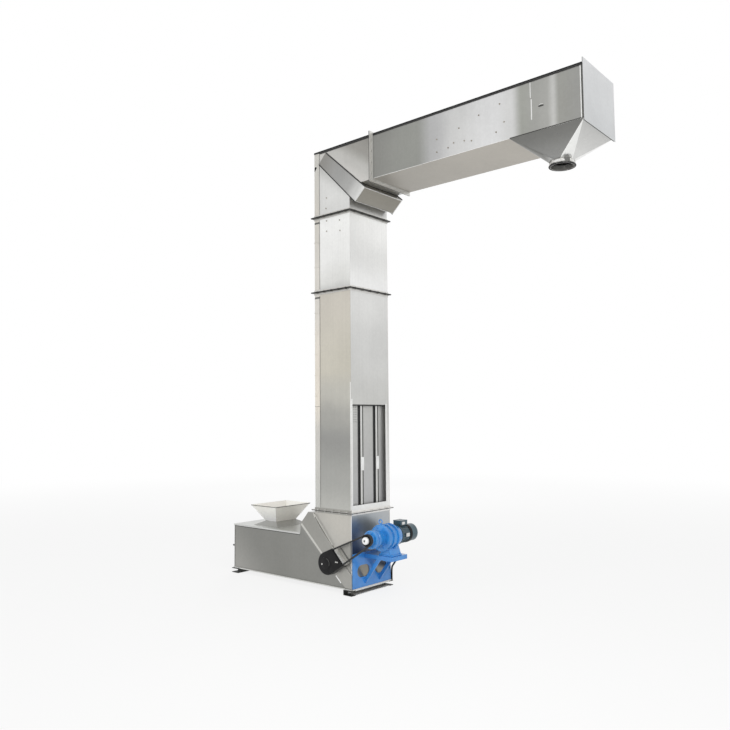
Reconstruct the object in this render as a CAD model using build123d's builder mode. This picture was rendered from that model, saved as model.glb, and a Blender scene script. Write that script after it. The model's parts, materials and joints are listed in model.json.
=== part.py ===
from build123d import *
from math import asin, atan2, cos, degrees, hypot, pi, radians, sin
import os

# Z-type bucket elevator, mm, +Z up. The origin lies on the floor, at the centre of the four
# anchor holes. X runs from the tail end of the boot towards the discharge, and -Y is the drive side.

# Casing: widths, depths and the heights that stack up from the floor
casing_w = 600
boot_len = 1800
boot_h = 490
foot_h = 50
column_d = 500
rear_d = 75
stub_h = 260
lower_h = 2255
upper_h = 798
elbow_h = 254
duct_h = 455
elbow_reach = 290
duct_len = 2213

# Sheet and plate thicknesses
boot_t = 6
column_t = 2
duct_t = 1.5
cover_t = 2
seam = 0.5
fit = 0.02
running_fit = 0.05
rest_gap = 0.3

# Feet and base rails
foot_w = 110
foot_t = 6
foot_overhang = 15
foot_end_overhang = 25
anchor_r = 9
anchor_edge = 30
anchor_side = 55
rail_t = 12

# Section joints
flange_w = 25
flange_t = 4
gasket_t = 3
bolt_r = 4
bolt_hole_r = 4.5
bolt_af = 13
bolt_head_h = 5.5
nut_h = 7
bolt_pitch = 110

# Corner covers and hoods
band_t = 14
band_wall = 2
band_bevel = 6
lower_hood_rise = 100
lower_hood_back = 225
lower_hood_top_back = 100
strap_w = 60
strap_t = 4
upper_hood_low = (80, 183)
upper_hood_high = (209, 63)
hood_neck_low = 104
hood_neck_high = 142
upper_band_top = (95, 38)
upper_band_back = 134
band_foot_run = 80
band_foot_rise = 150
band_bend_in = 75
band_low_bend = (78, 223)
band_high_bend = 140
band_top_drop = 45
band_top_back = 20
strap_start = 0.03
strap_stop = 0.62

# Inlet
inlet_x = -450
rim_l = 400
rim_w = 520
throat_l = 170
throat_w = 300
skirt_l = 400
skirt_w = 460
skirt_h = 49
funnel_h = 180
rim_lip = 6
rim_lip_h = 6
lid_t = 3
lid_lip = 14
lid_overhang = 5
hole_margin = 20

# Outlet
outlet_len = 665
spigot_r = 100
spigot_h = 42
hopper_drop = 202
ring_r = 115
ring_t = 8
ring_pcd = 216
ring_holes = 8
collar_w = 18
collar_t = 3
end_plate_t = 4
end_over_top = 43
end_over_bottom = 20
end_over_far = 30
end_over_near = 5

# Window in the column's front panel, with the rails and linings behind it
window_y0 = -277
window_y1 = 243
window_z0 = 70
window_h = 1005
lining_x = 38
lining_t = 2
crossbar_d = 24
crossbar_h = 30
crossbar_n = 5
guide_flange_w = 27
guide_t = 3
guide_y = 119.5
guide_gap_near = 28
guide_gap_far = 33
splice_w = 45
splice_h = 133
splice_t = 6
splice_z = 410

# Rear covers
upper_covers = 3
short_covers = 5
short_cover_h = 217.5
lap = 3
lap_h = 8

# Bucket chain
wheel_r = 125
wheel_teeth = 8
wheel_t = 14
wheel_tip = 6
wheel_flare = 10
wheel_flare_r = 17
guide_r = 75
roller_r = 10
roller_gap = 0.5
chain_y = 215
plate_gap = 20
plate_t = 3
plate_h = 22
wheel_holes = 5
wheel_hole_r = 20
shaft_chamfer = 1
hub_r = 32
hub_len = 40
shaft_r = 20
strand_low = 120
left_strand = 160
right_strand = 360
duct_strand = 98
tail_wall_gap = 230
head_wall_gap = 260
track_t = 6
track_rib = 14
track_clear = 0.3
track_wheel_gap = 15
track_drop = 2

# Buckets
bucket_every = 4
bucket_w = 380
bucket_top = 75
bucket_foot = 50
bucket_up = 45
bucket_down = 60
bucket_t = 2.5
bucket_corner_r = 18
trunnion_r = 8
tip_bar_r = 10
tip_bar_x = 105
tip_bar_drop = 85

# Bearings and take-up
bearing_size = 110
bearing_corner_r = 12
wall_gap = 0.25
bearing_t = 28
bearing_boss_r = 40
bearing_boss_t = 10
guide_bar_h = 12
screw_inset = 14
guide_bar_d = 30
guide_bar_l = 260
screw_r = 9
screw_out = 30
nut_af = 32
nut_t = 14

# Belt drive
drive_r = 106
pinion_r = 56
belt_out = 3
belt_depth = 9
belt_w = 13
belt_gap = 3
pulley_edge = 4
belt_y = -370
motor_x = 1163
motor_z = 572
guard_r = 114
guard_t = 2
guard_d = 80
guard_chord = 158
guard_mouth = 10
guard_seat = 0.3
guard_disc_r = 62
guard_disc_t = 4
tray_chord = 420
tray_gap = 1
cap_r = 36
cap_len = 30
cap_bore_r = 11
cap_bore_len = 8
cap_seat_len = 18
rim_drop = 1

# Geared motor, as radii against distance along its axis
reducer_start = -345
reducer_end = 60
nose_r = 58
nose_len = 15
neck_r = 88
neck_end = -215
waist_r = 72
drum_r = 114
rib_r = 127
rib_t = 18
rib_starts = (-180, -112, -40)
cone_r = 102
housing_wall = 9
rotor_r = 12
rotor_start = -60
motor_r = 84
motor_end = 235
motor_wall = 7
motor_flange_r = 98
motor_flange_t = 14
motor_end_t = 12
motor_bore_gap = 8
fin_inset = 15
fin_r = 90
fin_root = 2
fin_n = 28
fin_t = 3
fan_cover_end = 325
fan_cover_t = 1.5
fan_cover_lap = 12
fan_cover_bend = 8
vent_rings = (30, 42, 54, 66)
vent_r = 3.5
fan_y = 285
fan_t = 16
fan_hub_r = 22
fan_blades = 9
fan_blade_mid_r = 44.5
fan_blade_l = 53
fan_blade_t = 3
rotor_tail = 4
foot_pad_t = 15
foot_pad_l = 170
foot_pad_y0 = -105
foot_pad_y1 = 60
web_t = 14
web_lean = 0.6
box_l = 100
box_w = 110
box_h = 42
box_y = 86
box_corner_r = 8
box_wall = 4
eye_y = -171
eye_r = 20
eye_wire_r = 5
eye_stem_r = 9
eye_stem_h = 8

# Motor bracket
deck_z = 385
deck_t = 10
deck_y0 = -115
deck_y1 = 118
deck_end = 1262
beam_h = 42
beam_t = 8
backing_t = 6
backing_top = 400
backing_inset = 4
backing_hole_w = 185
backing_hole_h = 120
backing_hole_z = 220
backing_hole_y = 135
brace_t = 10
brace_foot_w = 48
brace_foot_in = 10
brace_top_half = 24
brace_top_x = 1110
brace_foot_z = 95
stay_r = 6
stay_inset = 8
stay_x = 1235
stay_y = 35
stay_bend_low = 150
stay_bend_high = 300
stay_bend_r = 60

# Top covers and their edge seals
top_lip = 22
top_t = 2
seal_h = 15
seal_t = 4
seal_gap_len = 600

# Panel screws, measured along and up from the column's rear edge at the top joint, and from the
# lower near corner of the duct
screw_head_r = 7
screw_head_h = 3
column_screws = ((176, -55), (360, -80), (176, -165), (365, -190), (176, 190), (168, 79))
duct_screws = ((795, 193), (1040, 233), (795, 73), (920, 83), (980, 113), (1095, 103), (1170, 83))
duct_screws += ((1250, 293), (1460, 333), (1500, 163), (1420, 93))

# Places that follow from the sizes above
half_w = casing_w / 2
boot_x0 = -boot_len / 2
front_x = boot_len / 2
rear_x = front_x - column_d
wall_x = rear_x + rear_d
boot_top = foot_h + boot_h
lower_joint = boot_top + stub_h
mid_joint = lower_joint + lower_h
top_joint = mid_joint + upper_h
duct_z0 = top_joint + elbow_h
duct_z1 = duct_z0 + duct_h
duct_x0 = front_x + elbow_reach
duct_x1 = duct_x0 + duct_len
outlet_x0 = duct_x1 - outlet_len
outlet_x = duct_x1 - outlet_len / 2
inner_y = half_w - boot_t
column_y = half_w - column_t

strand_z0 = foot_h + strand_low
strand_z1 = strand_z0 + 2 * wheel_r
strand_xl = rear_x + left_strand
strand_xr = rear_x + right_strand
strand_z2 = duct_z0 + duct_strand
strand_z3 = strand_z2 + 2 * wheel_r
drive_axle = (strand_xr - wheel_r, strand_z0 + wheel_r)
low_axle = (strand_xl - guide_r, strand_z1 + guide_r)
inner_axle = (strand_xr + guide_r, strand_z2 - guide_r)
outer_axle = (strand_xl + wheel_r, strand_z3 - wheel_r)
head_axle = (duct_x1 - head_wall_gap, strand_z3 - wheel_r)
pinion_axle = (motor_x, motor_z)

# The take-up at the tail shortens the loop to a whole number of bucket spacings
chain_pitch = 2 * pi * wheel_r / wheel_teeth
loop_straights = (drive_axle[0] + low_axle[0]) - 2 * (boot_x0 + tail_wall_gap)
loop_straights += (inner_axle[1] - drive_axle[1]) + (outer_axle[1] - low_axle[1])
loop_straights += (head_axle[0] - inner_axle[0]) + (head_axle[0] - outer_axle[0])
loop_arcs = 3 * pi * wheel_r + pi * guide_r
bucket_count = int((loop_straights + loop_arcs) / (bucket_every * chain_pitch))
pin_count = bucket_every * bucket_count
slack = (loop_straights + loop_arcs - pin_count * chain_pitch) / 2
tail_axle = (boot_x0 + tail_wall_gap + slack, strand_z0 + wheel_r)


def at_x(x):
    """Sketch plane across the machine: sketch x is Y, sketch y is Z, and it faces +X."""
    return Plane.YZ.offset(x)


def at_y(y):
    """Sketch plane along the machine: sketch x is X, sketch y is Z, and it faces -Y."""
    return Plane.XZ.offset(-y)


def at_z(z):
    """Level sketch plane: sketch x is X, sketch y is Y, and it faces up."""
    return Plane.XY.offset(z)


def span(low, high):
    """Middle of an interval."""
    return (low + high) / 2


def block(x0, x1, y0, y1, z0, z1, mode=Mode.ADD):
    """A right-angled block between two corners, made in the part that is being built."""
    with Locations(((x0 + x1) / 2, (y0 + y1) / 2, (z0 + z1) / 2)):
        Box(x1 - x0, y1 - y0, z1 - z0, mode=mode)


def spread(low, high, pitch):
    """Evenly spaced places between two ends, about one pitch apart and half a pitch from each end."""
    count = max(2, round((high - low) / pitch))
    step = (high - low) / count
    return [low + step * (i + 0.5) for i in range(count)]


def save(part, label):
    """Label a finished piece and write it as its own file."""
    part.label = label
    export_step(part, f"parts/{label}.step")
    return part


def gather(pieces, label):
    """Write several separate pieces as one node."""
    return save(Compound([solid for piece in pieces for solid in piece.solids()]), label)


def mirrored(pieces):
    """The pieces and their mirror images on the other side of the machine."""
    return pieces + [piece.mirror(Plane.XZ) for piece in pieces]


def copies(piece, places, turn=0):
    """Copies of a piece at (x, z) places, turned about their own Y."""
    return [piece.moved(Location((x, 0, z), (0, turn, 0))) for x, z in places]


def chain_path():
    """Pitch line of the bucket chain, from the tail wheel's lowest point, in the XZ plane."""
    tx, tz = tail_axle
    dx, dz = drive_axle
    nx, nz = inner_axle
    hx, hz = head_axle
    ox, oz = outer_axle
    lx, lz = low_axle
    r, g = wheel_r, guide_r
    k, j = r * cos(radians(45)), g * cos(radians(45))
    with BuildLine(Plane.XZ) as loop:
        Line((tx, tz - r), (dx, dz - r))
        ThreePointArc((dx, dz - r), (dx + k, dz - k), (dx + r, dz))
        Line((dx + r, dz), (nx - g, nz))
        ThreePointArc((nx - g, nz), (nx - j, nz + j), (nx, nz + g))
        Line((nx, nz + g), (hx, hz - r))
        ThreePointArc((hx, hz - r), (hx + r, hz), (hx, hz + r))
        Line((hx, hz + r), (ox, oz + r))
        ThreePointArc((ox, oz + r), (ox - k, oz + k), (ox - r, oz))
        Line((ox - r, oz), (lx + g, lz))
        ThreePointArc((lx + g, lz), (lx + j, lz - j), (lx, lz - g))
        Line((lx, lz - g), (tx, tz + r))
        ThreePointArc((tx, tz + r), (tx - r, tz), (tx, tz - r))
    return loop.wire()


def pin_points(path):
    """Chain pins along the path, phased so that two buckets straddle the tail wheel evenly."""
    start = path.length - pi * wheel_r / 2 - bucket_every * chain_pitch / 2
    pins = []
    for i in range(pin_count):
        along = (start + i * chain_pitch) % path.length
        point = path.position_at(along / path.length)
        pins.append((point.X, point.Z))
    return pins


def wheel_phase(axle, pins):
    """Angle of the chain pin that sits on a wheel, nearest to its pitch circle."""
    near = min(pins, key=lambda p: abs(hypot(p[0] - axle[0], p[1] - axle[1]) - wheel_r))
    return degrees(atan2(near[1] - axle[1], near[0] - axle[0]))


# Feet, base rails and the boot's plates
def foot_channels():
    """Two channels across the ends of the boot, open outwards, drilled for the floor anchors."""
    x1 = front_x + foot_overhang
    y1 = half_w + foot_end_overhang
    with BuildPart() as feet:
        block(x1 - foot_w, x1, -y1, y1, 0, foot_t)
        block(x1 - foot_w, x1, -y1, y1, foot_h - foot_t, foot_h)
        block(x1 - foot_w, x1 - foot_w + foot_t, -y1, y1, foot_t, foot_h - foot_t)
        with BuildSketch(at_z(0)):
            with Locations((x1 - anchor_edge, anchor_side - y1), (x1 - anchor_edge, y1 - anchor_side)):
                Circle(anchor_r)
        extrude(amount=foot_t, mode=Mode.SUBTRACT)
        mirror(about=Plane.YZ)
    return save(feet.part, "foot_channels")


def base_rails():
    """Square bars round the bottom edge of the boot."""
    with BuildPart() as rails:
        block(boot_x0, front_x, half_w + seam, half_w + seam + rail_t, foot_h, foot_h + rail_t)
        mirror(about=Plane.XZ)
        block(front_x + seam, front_x + seam + rail_t, -half_w, half_w, foot_h, foot_h + rail_t)
        block(boot_x0 - seam - rail_t, boot_x0 - seam, -half_w, half_w, foot_h, foot_h + rail_t)
    return save(rails.part, "base_rails")


def boot_side_outline():
    """Corner points of a boot side: the trough, the hood's cheek and the stub under the column."""
    hood_back = rear_x - lower_hood_back
    hood_top = lower_joint - gasket_t / 2 - flange_t - flange_w
    return [
        (boot_x0, foot_h),
        (front_x, foot_h),
        (front_x, lower_joint - gasket_t / 2),
        (rear_x, lower_joint - gasket_t / 2),
        (rear_x, hood_top),
        (rear_x - lower_hood_top_back, hood_top),
        (hood_back, boot_top + lower_hood_rise),
        (hood_back, boot_top),
        (boot_x0, boot_top),
    ]


def boot_sides():
    """Near and far side plates of the boot, the near one bored for the drive shaft."""
    with BuildPart() as near:
        with BuildSketch(at_y(-inner_y)):
            Polygon(*boot_side_outline(), align=None)
            with Locations(drive_axle):
                Circle(shaft_r + pulley_edge, mode=Mode.SUBTRACT)
        extrude(amount=boot_t)
    with BuildPart() as far:
        with BuildSketch(at_y(half_w)):
            Polygon(*boot_side_outline(), align=None)
        extrude(amount=boot_t)
    save(near.part, "boot_side_near")
    save(far.part, "boot_side_far")


def boot_ends():
    """Floor, tail plate with its welded take-up nuts, and the tall plate at the drive end."""
    y = inner_y - seam
    with BuildPart() as floor:
        block(boot_x0 + boot_t + seam, front_x - boot_t - seam, -y, y, foot_h, foot_h + boot_t)
    screw_y = inner_y - seam - screw_inset
    with BuildPart() as tail:
        block(boot_x0, boot_x0 + boot_t, -y, y, foot_h, boot_top)
        with BuildSketch(at_x(boot_x0)):
            with Locations((-screw_y, tail_axle[1]), (screw_y, tail_axle[1])):
                RegularPolygon(nut_af / 2, 6, major_radius=False)
        extrude(amount=-nut_t)
        with BuildSketch(at_x(boot_x0 - nut_t)):
            with Locations((-screw_y, tail_axle[1]), (screw_y, tail_axle[1])):
                Circle(screw_r + rest_gap)
        extrude(amount=nut_t + boot_t, mode=Mode.SUBTRACT)
    with BuildPart() as end:
        block(front_x - boot_t, front_x, -y, y, foot_h, lower_joint - gasket_t / 2)
    with BuildPart() as stub_back:
        top = lower_joint - gasket_t / 2
        block(wall_x, wall_x + boot_t, -y, y, top - flange_w - flange_t, top)
    save(floor.part, "boot_floor")
    save(tail.part, "boot_tail_plate")
    gather([end.part, stub_back.part], "boot_end_plates")


def boot_lid():
    """Top cover of the boot: a tray with folded lips and a hole under the inlet."""
    x0 = boot_x0 - lid_overhang
    x1 = rear_x - lower_hood_back - seam
    y1 = half_w + lid_overhang
    with BuildPart() as lid:
        block(x0, x1, -y1, y1, boot_top - lid_lip, boot_top + lid_t)
        wall = lid_overhang - cover_t
        block(x0 + cover_t, x1, -half_w - wall, half_w + wall, boot_top - lid_lip, boot_top, Mode.SUBTRACT)
        block(
            inlet_x - skirt_l / 2 + hole_margin,
            inlet_x + skirt_l / 2 - hole_margin,
            -skirt_w / 2 + hole_margin,
            skirt_w / 2 - hole_margin,
            boot_top,
            boot_top + lid_t,
            Mode.SUBTRACT,
        )
    return save(lid.part, "boot_top_cover")


def lower_hood():
    """Folded hood between the cheeks of the lower inner corner, over the guide wheels."""
    points = [p for p in boot_side_outline()[4:8]]
    y = inner_y - seam
    with BuildPart() as hood:
        with BuildSketch(at_y(y)):
            with BuildLine():
                Polyline(*points)
                offset(amount=boot_t / 2, side=Side.LEFT, closed=True)
            make_face()
        extrude(amount=2 * y)
    return save(hood.part, "lower_corner_hood")


def funnel(low, high, low_size, high_size, wall):
    """Hollow pyramid frustum on the inlet's axis, open at both ends."""
    with BuildPart() as shape:
        with BuildSketch(at_z(low)):
            with Locations((inlet_x, 0)):
                Rectangle(*low_size)
        with BuildSketch(at_z(high)):
            with Locations((inlet_x, 0)):
                Rectangle(*high_size)
        loft(ruled=True)
        with BuildSketch(at_z(low)):
            with Locations((inlet_x, 0)):
                Rectangle(low_size[0] - 2 * wall, low_size[1] - 2 * wall)
        with BuildSketch(at_z(high)):
            with Locations((inlet_x, 0)):
                Rectangle(high_size[0] - 2 * wall, high_size[1] - 2 * wall)
        loft(ruled=True, mode=Mode.SUBTRACT)
    return shape.part


def inlet():
    """Feed hopper with a rolled rim, and the flared neck that seats it on the boot."""
    seat = boot_top + lid_t
    throat_z = seat + skirt_h
    rim_z = throat_z + funnel_h
    neck = funnel(seat, throat_z, (skirt_l, skirt_w), (throat_l, throat_w), cover_t)
    with BuildPart() as hopper:
        add(funnel(throat_z + seam, rim_z, (throat_l, throat_w), (rim_l, rim_w), cover_t))
        with BuildSketch(at_z(rim_z - rim_lip_h)):
            with Locations((inlet_x, 0)):
                Rectangle(rim_l + 2 * rim_lip, rim_w + 2 * rim_lip)
                Rectangle(rim_l - 2 * cover_t, rim_w - 2 * cover_t, mode=Mode.SUBTRACT)
        extrude(amount=rim_lip_h)
    save(neck, "inlet_neck")
    save(hopper.part, "inlet_hopper")


def tray(points, inner_points, bore=None):
    """Shallow folded tray on the near side, open towards the casing, with bevelled outer edges."""
    with BuildPart() as shell:
        with BuildSketch(at_y(-half_w - seam)):
            Polygon(*points, align=None)
        extrude(amount=band_t)
        chamfer(shell.faces().sort_by(Axis.Y)[0].edges(), band_bevel)
        with BuildSketch(at_y(-half_w - seam)):
            Polygon(*inner_points, align=None)
        extrude(amount=band_t - band_wall, mode=Mode.SUBTRACT)
        if bore is not None:
            with BuildSketch(at_y(-half_w - seam)):
                with Locations(bore):
                    Circle(shaft_r + pulley_edge)
            extrude(amount=band_t, mode=Mode.SUBTRACT)
    return shell.part


def shrink(points, amount):
    """Corner points of a polygon moved inwards by an amount."""
    with BuildSketch() as sketch:
        Polygon(*points, align=None)
        offset(amount=-amount, kind=Kind.INTERSECTION)
    ring = sketch.sketch.faces()[0].outer_wire().order_edges()
    return [(edge.position_at(0).X, edge.position_at(0).Y) for edge in ring]


def lower_band_points():
    """Outline of the lower corner cover, along the mitre of the elbow."""
    hood_back = rear_x - lower_hood_back + band_t
    hood_top = boot_side_outline()[4][1]
    edge = front_x - seam
    bend_x = rear_x + band_bend_in
    return [
        (hood_back, boot_top + lower_hood_rise),
        (edge - band_foot_run, foot_h + rail_t + seam),
        (edge, foot_h + rail_t + seam),
        (edge, foot_h + band_foot_rise),
        (bend_x + band_low_bend[0], hood_top - band_low_bend[1]),
        (bend_x, hood_top - band_high_bend),
        (rear_x, hood_top - band_top_drop),
        (rear_x - band_top_back, hood_top),
        (rear_x - lower_hood_top_back, hood_top),
    ]


def lower_covers():
    """Diagonal covers over the lower corner's bearings, and the near side's strap and belt tray."""
    points = lower_band_points()
    inner = shrink(points, band_bevel + band_wall)
    near = tray(points, inner, drive_axle)
    far = mirror(tray(points, inner), about=Plane.XZ, mode=Mode.PRIVATE)
    low, high = points[3], points[4]
    length = hypot(high[0] - low[0], high[1] - low[1])
    nx, nz = (high[1] - low[1]) / length, (low[0] - high[0]) / length
    stops = (strap_start, strap_stop)
    ends = [(low[0] + (high[0] - low[0]) * t, low[1] + (high[1] - low[1]) * t) for t in stops]
    strap = [
        (ends[0][0] + nx * seam, ends[0][1] + nz * seam),
        (ends[1][0] + nx * seam, ends[1][1] + nz * seam),
        (ends[1][0] + nx * strap_w, ends[1][1] + nz * strap_w),
        (min(front_x - seam, ends[0][0] + nx * strap_w), ends[0][1] + nz * strap_w),
    ]
    with BuildPart() as covers:
        add(near)
        add(far)
        with BuildSketch(at_y(-half_w - seam)):
            Polygon(*strap, align=None)
        extrude(amount=strap_t)
    with BuildPart() as belt_tray:
        with BuildSketch(at_y(-half_w - seam - band_t - guard_seat)):
            add(guard_face(guard_r, tray_chord))
            add(guard_face(guard_r + tray_gap, guard_chord + tray_gap), mode=Mode.SUBTRACT)
            with Locations((front_x - seam + tray_chord, span(foot_h, lower_joint))):
                Rectangle(2 * tray_chord, 2 * lower_joint, mode=Mode.SUBTRACT)
        extrude(amount=guard_t)
    return gather([covers.part, belt_tray.part], "lower_corner_covers")


# Column
def column_sections():
    """Sheets of the two column sections, front panel of the lower one apart."""
    y = column_y - seam
    z0, z1 = lower_joint + gasket_t / 2, mid_joint - gasket_t / 2
    z2, z3 = mid_joint + gasket_t / 2, top_joint - gasket_t / 2
    with BuildPart() as lower:
        block(wall_x, front_x, column_y, half_w, z0, z1)
        mirror(about=Plane.XZ)
        block(wall_x, wall_x + column_t, -y, y, z0, z1)
    with BuildPart() as front:
        block(front_x - column_t, front_x, -y, y, z0, z1)
        block(
            front_x - column_t,
            front_x,
            window_y0,
            window_y1,
            lower_joint + window_z0,
            lower_joint + window_z0 + window_h,
            Mode.SUBTRACT,
        )
    with BuildPart() as upper:
        block(wall_x, front_x, column_y, half_w, z2, z3)
        mirror(about=Plane.XZ)
        block(wall_x, wall_x + column_t, -y, y, z2, z3)
        block(front_x - column_t, front_x, -y, y, z2, z3)
    save(lower.part, "column_lower_casing")
    save(front.part, "column_front_panel")
    save(upper.part, "column_upper_casing")


def rear_cover(z0, z1, lips):
    """One U-shaped rear cover: a back with two legs, and perhaps a lap lip along its lower edge."""
    x1 = wall_x - seam
    y_in = half_w - cover_t
    with BuildPart() as cover:
        for grow, top in ((0, z1), (lap, z0 + lap_h))[: 1 + lips]:
            with BuildSketch(at_z(z0)):
                with Locations((span(rear_x - grow, x1), 0)):
                    Rectangle(x1 - rear_x + grow, 2 * (half_w + grow))
                with Locations((span(rear_x + cover_t, x1), 0)):
                    Rectangle(x1 - rear_x - cover_t, 2 * y_in, mode=Mode.SUBTRACT)
            extrude(amount=top - z0)
    return cover.part


def rear_covers():
    """Stack of rear covers up the column and the elbow, each lapping the one below."""
    half = gasket_t / 2 + seam
    top = mid_joint - half
    shorts = [top - short_cover_h * (short_covers - i) for i in range(short_covers + 1)]
    lower = [lower_joint + half] + shorts
    step = (top_joint - mid_joint - 2 * half) / upper_covers
    upper = [mid_joint + half + step * i for i in range(upper_covers + 1)]
    elbow_levels = [top_joint + half, duct_z1 - seam]
    covers = []
    for levels in (lower, upper, elbow_levels):
        for i in range(len(levels) - 1):
            covers.append(rear_cover(levels[i], levels[i + 1] - seam, i > 0))
    return gather(covers, "rear_covers")


def level_bolts():
    """Bolt places round a level joint, as (x, y) pairs."""
    out = span(flange_t, flange_w) + lap / 2
    sides = [(x, s * (half_w + out)) for x in spread(rear_x, front_x, bolt_pitch) for s in (-1, 1)]
    ends = [(front_x + out, y) for y in spread(-half_w, half_w, bolt_pitch)]
    backs = [(rear_x - out, y) for y in spread(-half_w, half_w, bolt_pitch)]
    return sides + ends + backs


def upright_bolts():
    """Bolt places round the upright joint between elbow and duct, as (y, z) pairs."""
    out = span(flange_t, flange_w) + lap / 2
    sides = [(s * (half_w + out), z) for z in spread(duct_z0, duct_z1, bolt_pitch) for s in (-1, 1)]
    sill = [(y, duct_z0 - out) for y in spread(-half_w, half_w, bolt_pitch)]
    return sides + sill


def angle_frame(plane, low, high, bolts):
    """Welded angle-iron frame as four bars round a rectangle, on a joint's plane, legs outwards."""
    reach = flange_w + lap
    with BuildPart() as frame:
        for depth, start, size in ((flange_t, 0, reach), (flange_w, flange_t, flange_t)):
            with BuildSketch(plane.offset(start)) as bars:
                for side in (low[1] - size / 2, high[1] + size / 2):
                    with Locations((span(low[0], high[0]), side)):
                        Rectangle(high[0] - low[0] + 2 * size, size)
                for side in (low[0] - size / 2, high[0] + size / 2):
                    with Locations((side, span(low[1], high[1]))):
                        Rectangle(size, high[1] - low[1] - 2 * seam)
                if start == 0:
                    with Locations(*bolts):
                        Circle(bolt_hole_r, mode=Mode.SUBTRACT)
            extrude(bars.sketch, amount=depth - start)
    return frame.part


def gasket(plane, low, high, bolts):
    """Flat gasket between two frames, on the joint's middle plane."""
    reach = flange_w + lap
    with BuildPart() as seal:
        with BuildSketch(plane.offset(-gasket_t / 2)) as ring:
            with Locations((span(low[0], high[0]), span(low[1], high[1]))):
                Rectangle(high[0] - low[0] + 2 * reach, high[1] - low[1] + 2 * reach)
                Rectangle(high[0] - low[0] - 2 * lap, high[1] - low[1] - 2 * lap, mode=Mode.SUBTRACT)
            with Locations(*bolts):
                Circle(bolt_hole_r, mode=Mode.SUBTRACT)
        extrude(ring.sketch, amount=gasket_t)
    return seal.part


def hex_bolt(plane):
    """Bolt and nut through a joint's stack, about the origin, along the plane's normal."""
    stack = gasket_t / 2 + flange_t
    reach = stack + nut_h + bolt_r
    with BuildPart() as bolt:
        for start, depth in ((stack, bolt_head_h), (-stack - nut_h, nut_h)):
            with BuildSketch(plane.offset(start)) as hexagon:
                RegularPolygon(bolt_af / 2, 6, major_radius=False)
            extrude(hexagon.sketch, amount=depth)
        with BuildSketch(plane.offset(-reach)) as shank:
            Circle(bolt_r)
        extrude(shank.sketch, amount=reach + stack)
    return bolt.part


def flanges():
    """Angle frames of the four section joints, the gaskets between them and their bolts."""
    half = gasket_t / 2
    low, high = (rear_x - seam, -half_w - seam), (front_x + seam, half_w + seam)
    frames, gaskets, bolts = [], [], []
    level_bolt, upright_bolt = hex_bolt(Plane.XY), hex_bolt(Plane.YZ)
    for z in (lower_joint, mid_joint, top_joint):
        upper = angle_frame(at_z(z + half), low, high, level_bolts())
        frames += [upper, upper.mirror(Plane.XY.offset(z))]
        gaskets.append(gasket(at_z(z), low, high, level_bolts()))
        bolts += [level_bolt.moved(Location((x, y, z))) for x, y in level_bolts()]
    low = (-half_w - seam, duct_z0 - seam)
    high = (half_w + seam, duct_z1 + top_t + seam)
    forward = angle_frame(at_x(duct_x0 + half), low, high, upright_bolts())
    frames += [forward, forward.mirror(Plane.YZ.offset(duct_x0))]
    gaskets.append(gasket(at_x(duct_x0), low, high, upright_bolts()))
    bolts += [upright_bolt.moved(Location((duct_x0, y, z))) for y, z in upright_bolts()]
    gather(frames, "section_flanges")
    gather(gaskets, "flange_gaskets")
    gather(bolts, "flange_bolts")


# Behind the window
def window_parts():
    """Linings behind the column's front, the guide rails between them and their splice plates."""
    z0 = lower_joint + gasket_t / 2 + seam
    z1 = mid_joint - gasket_t / 2 - seam
    x_lining = front_x - lining_x
    x_front = x_lining + 2 * lining_t + crossbar_d / 2
    y = column_y - seam
    half_f = guide_flange_w / 2
    with BuildPart() as linings:
        block(x_lining, x_lining + lining_t, -y, -guide_y - half_f - guide_gap_near, z0, z1)
        gap = guide_y - half_f - guide_gap_near
        block(x_lining, x_lining + lining_t, -guide_y + half_f + guide_gap_far, gap, z0, z1)
        block(x_lining, x_lining + lining_t, guide_y + half_f + guide_gap_far, y, z0, z1)
    rails = []
    for side in (-1, 1):
        yc = side * guide_y
        with BuildPart() as rail:
            block(x_front - guide_t, x_front, yc - half_f, yc + half_f, z0, z1)
            block(x_lining, x_front - guide_t, yc - guide_t / 2, yc + guide_t / 2, z0, z1)
        rails.append(rail.part)
    for z in spread(z0, z1, (z1 - z0) / crossbar_n):
        with BuildPart() as bar:
            block(x_lining - crossbar_d, x_lining, -y, y, z, z + crossbar_h)
        rails.append(bar.part)
    z_mid = lower_joint + splice_z
    with BuildPart() as splices:
        for s in (-1, 1):
            y0 = s * guide_y - half_f
            block(x_front, x_front + splice_t, y0, y0 + splice_w, z_mid, z_mid + splice_h)
    save(linings.part, "lining_panels")
    gather(rails, "guide_rails")
    save(splices.part, "rail_splice_plates")


# Upper elbow and its hood
def elbow_points():
    """Elbow side in order: wall, top flange, neck, hood, underside, duct joint and top."""
    z0 = top_joint + gasket_t / 2
    x1 = duct_x0 - gasket_t / 2
    return [
        (wall_x, z0),
        (front_x, z0),
        (front_x, duct_z0 - hood_neck_low),
        (front_x + upper_hood_low[0], duct_z0 - upper_hood_low[1]),
        (front_x + upper_hood_high[0], duct_z0 - upper_hood_high[1]),
        (front_x + hood_neck_high, duct_z0),
        (x1, duct_z0),
        (x1, duct_z1),
        (wall_x, duct_z1),
    ]


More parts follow.
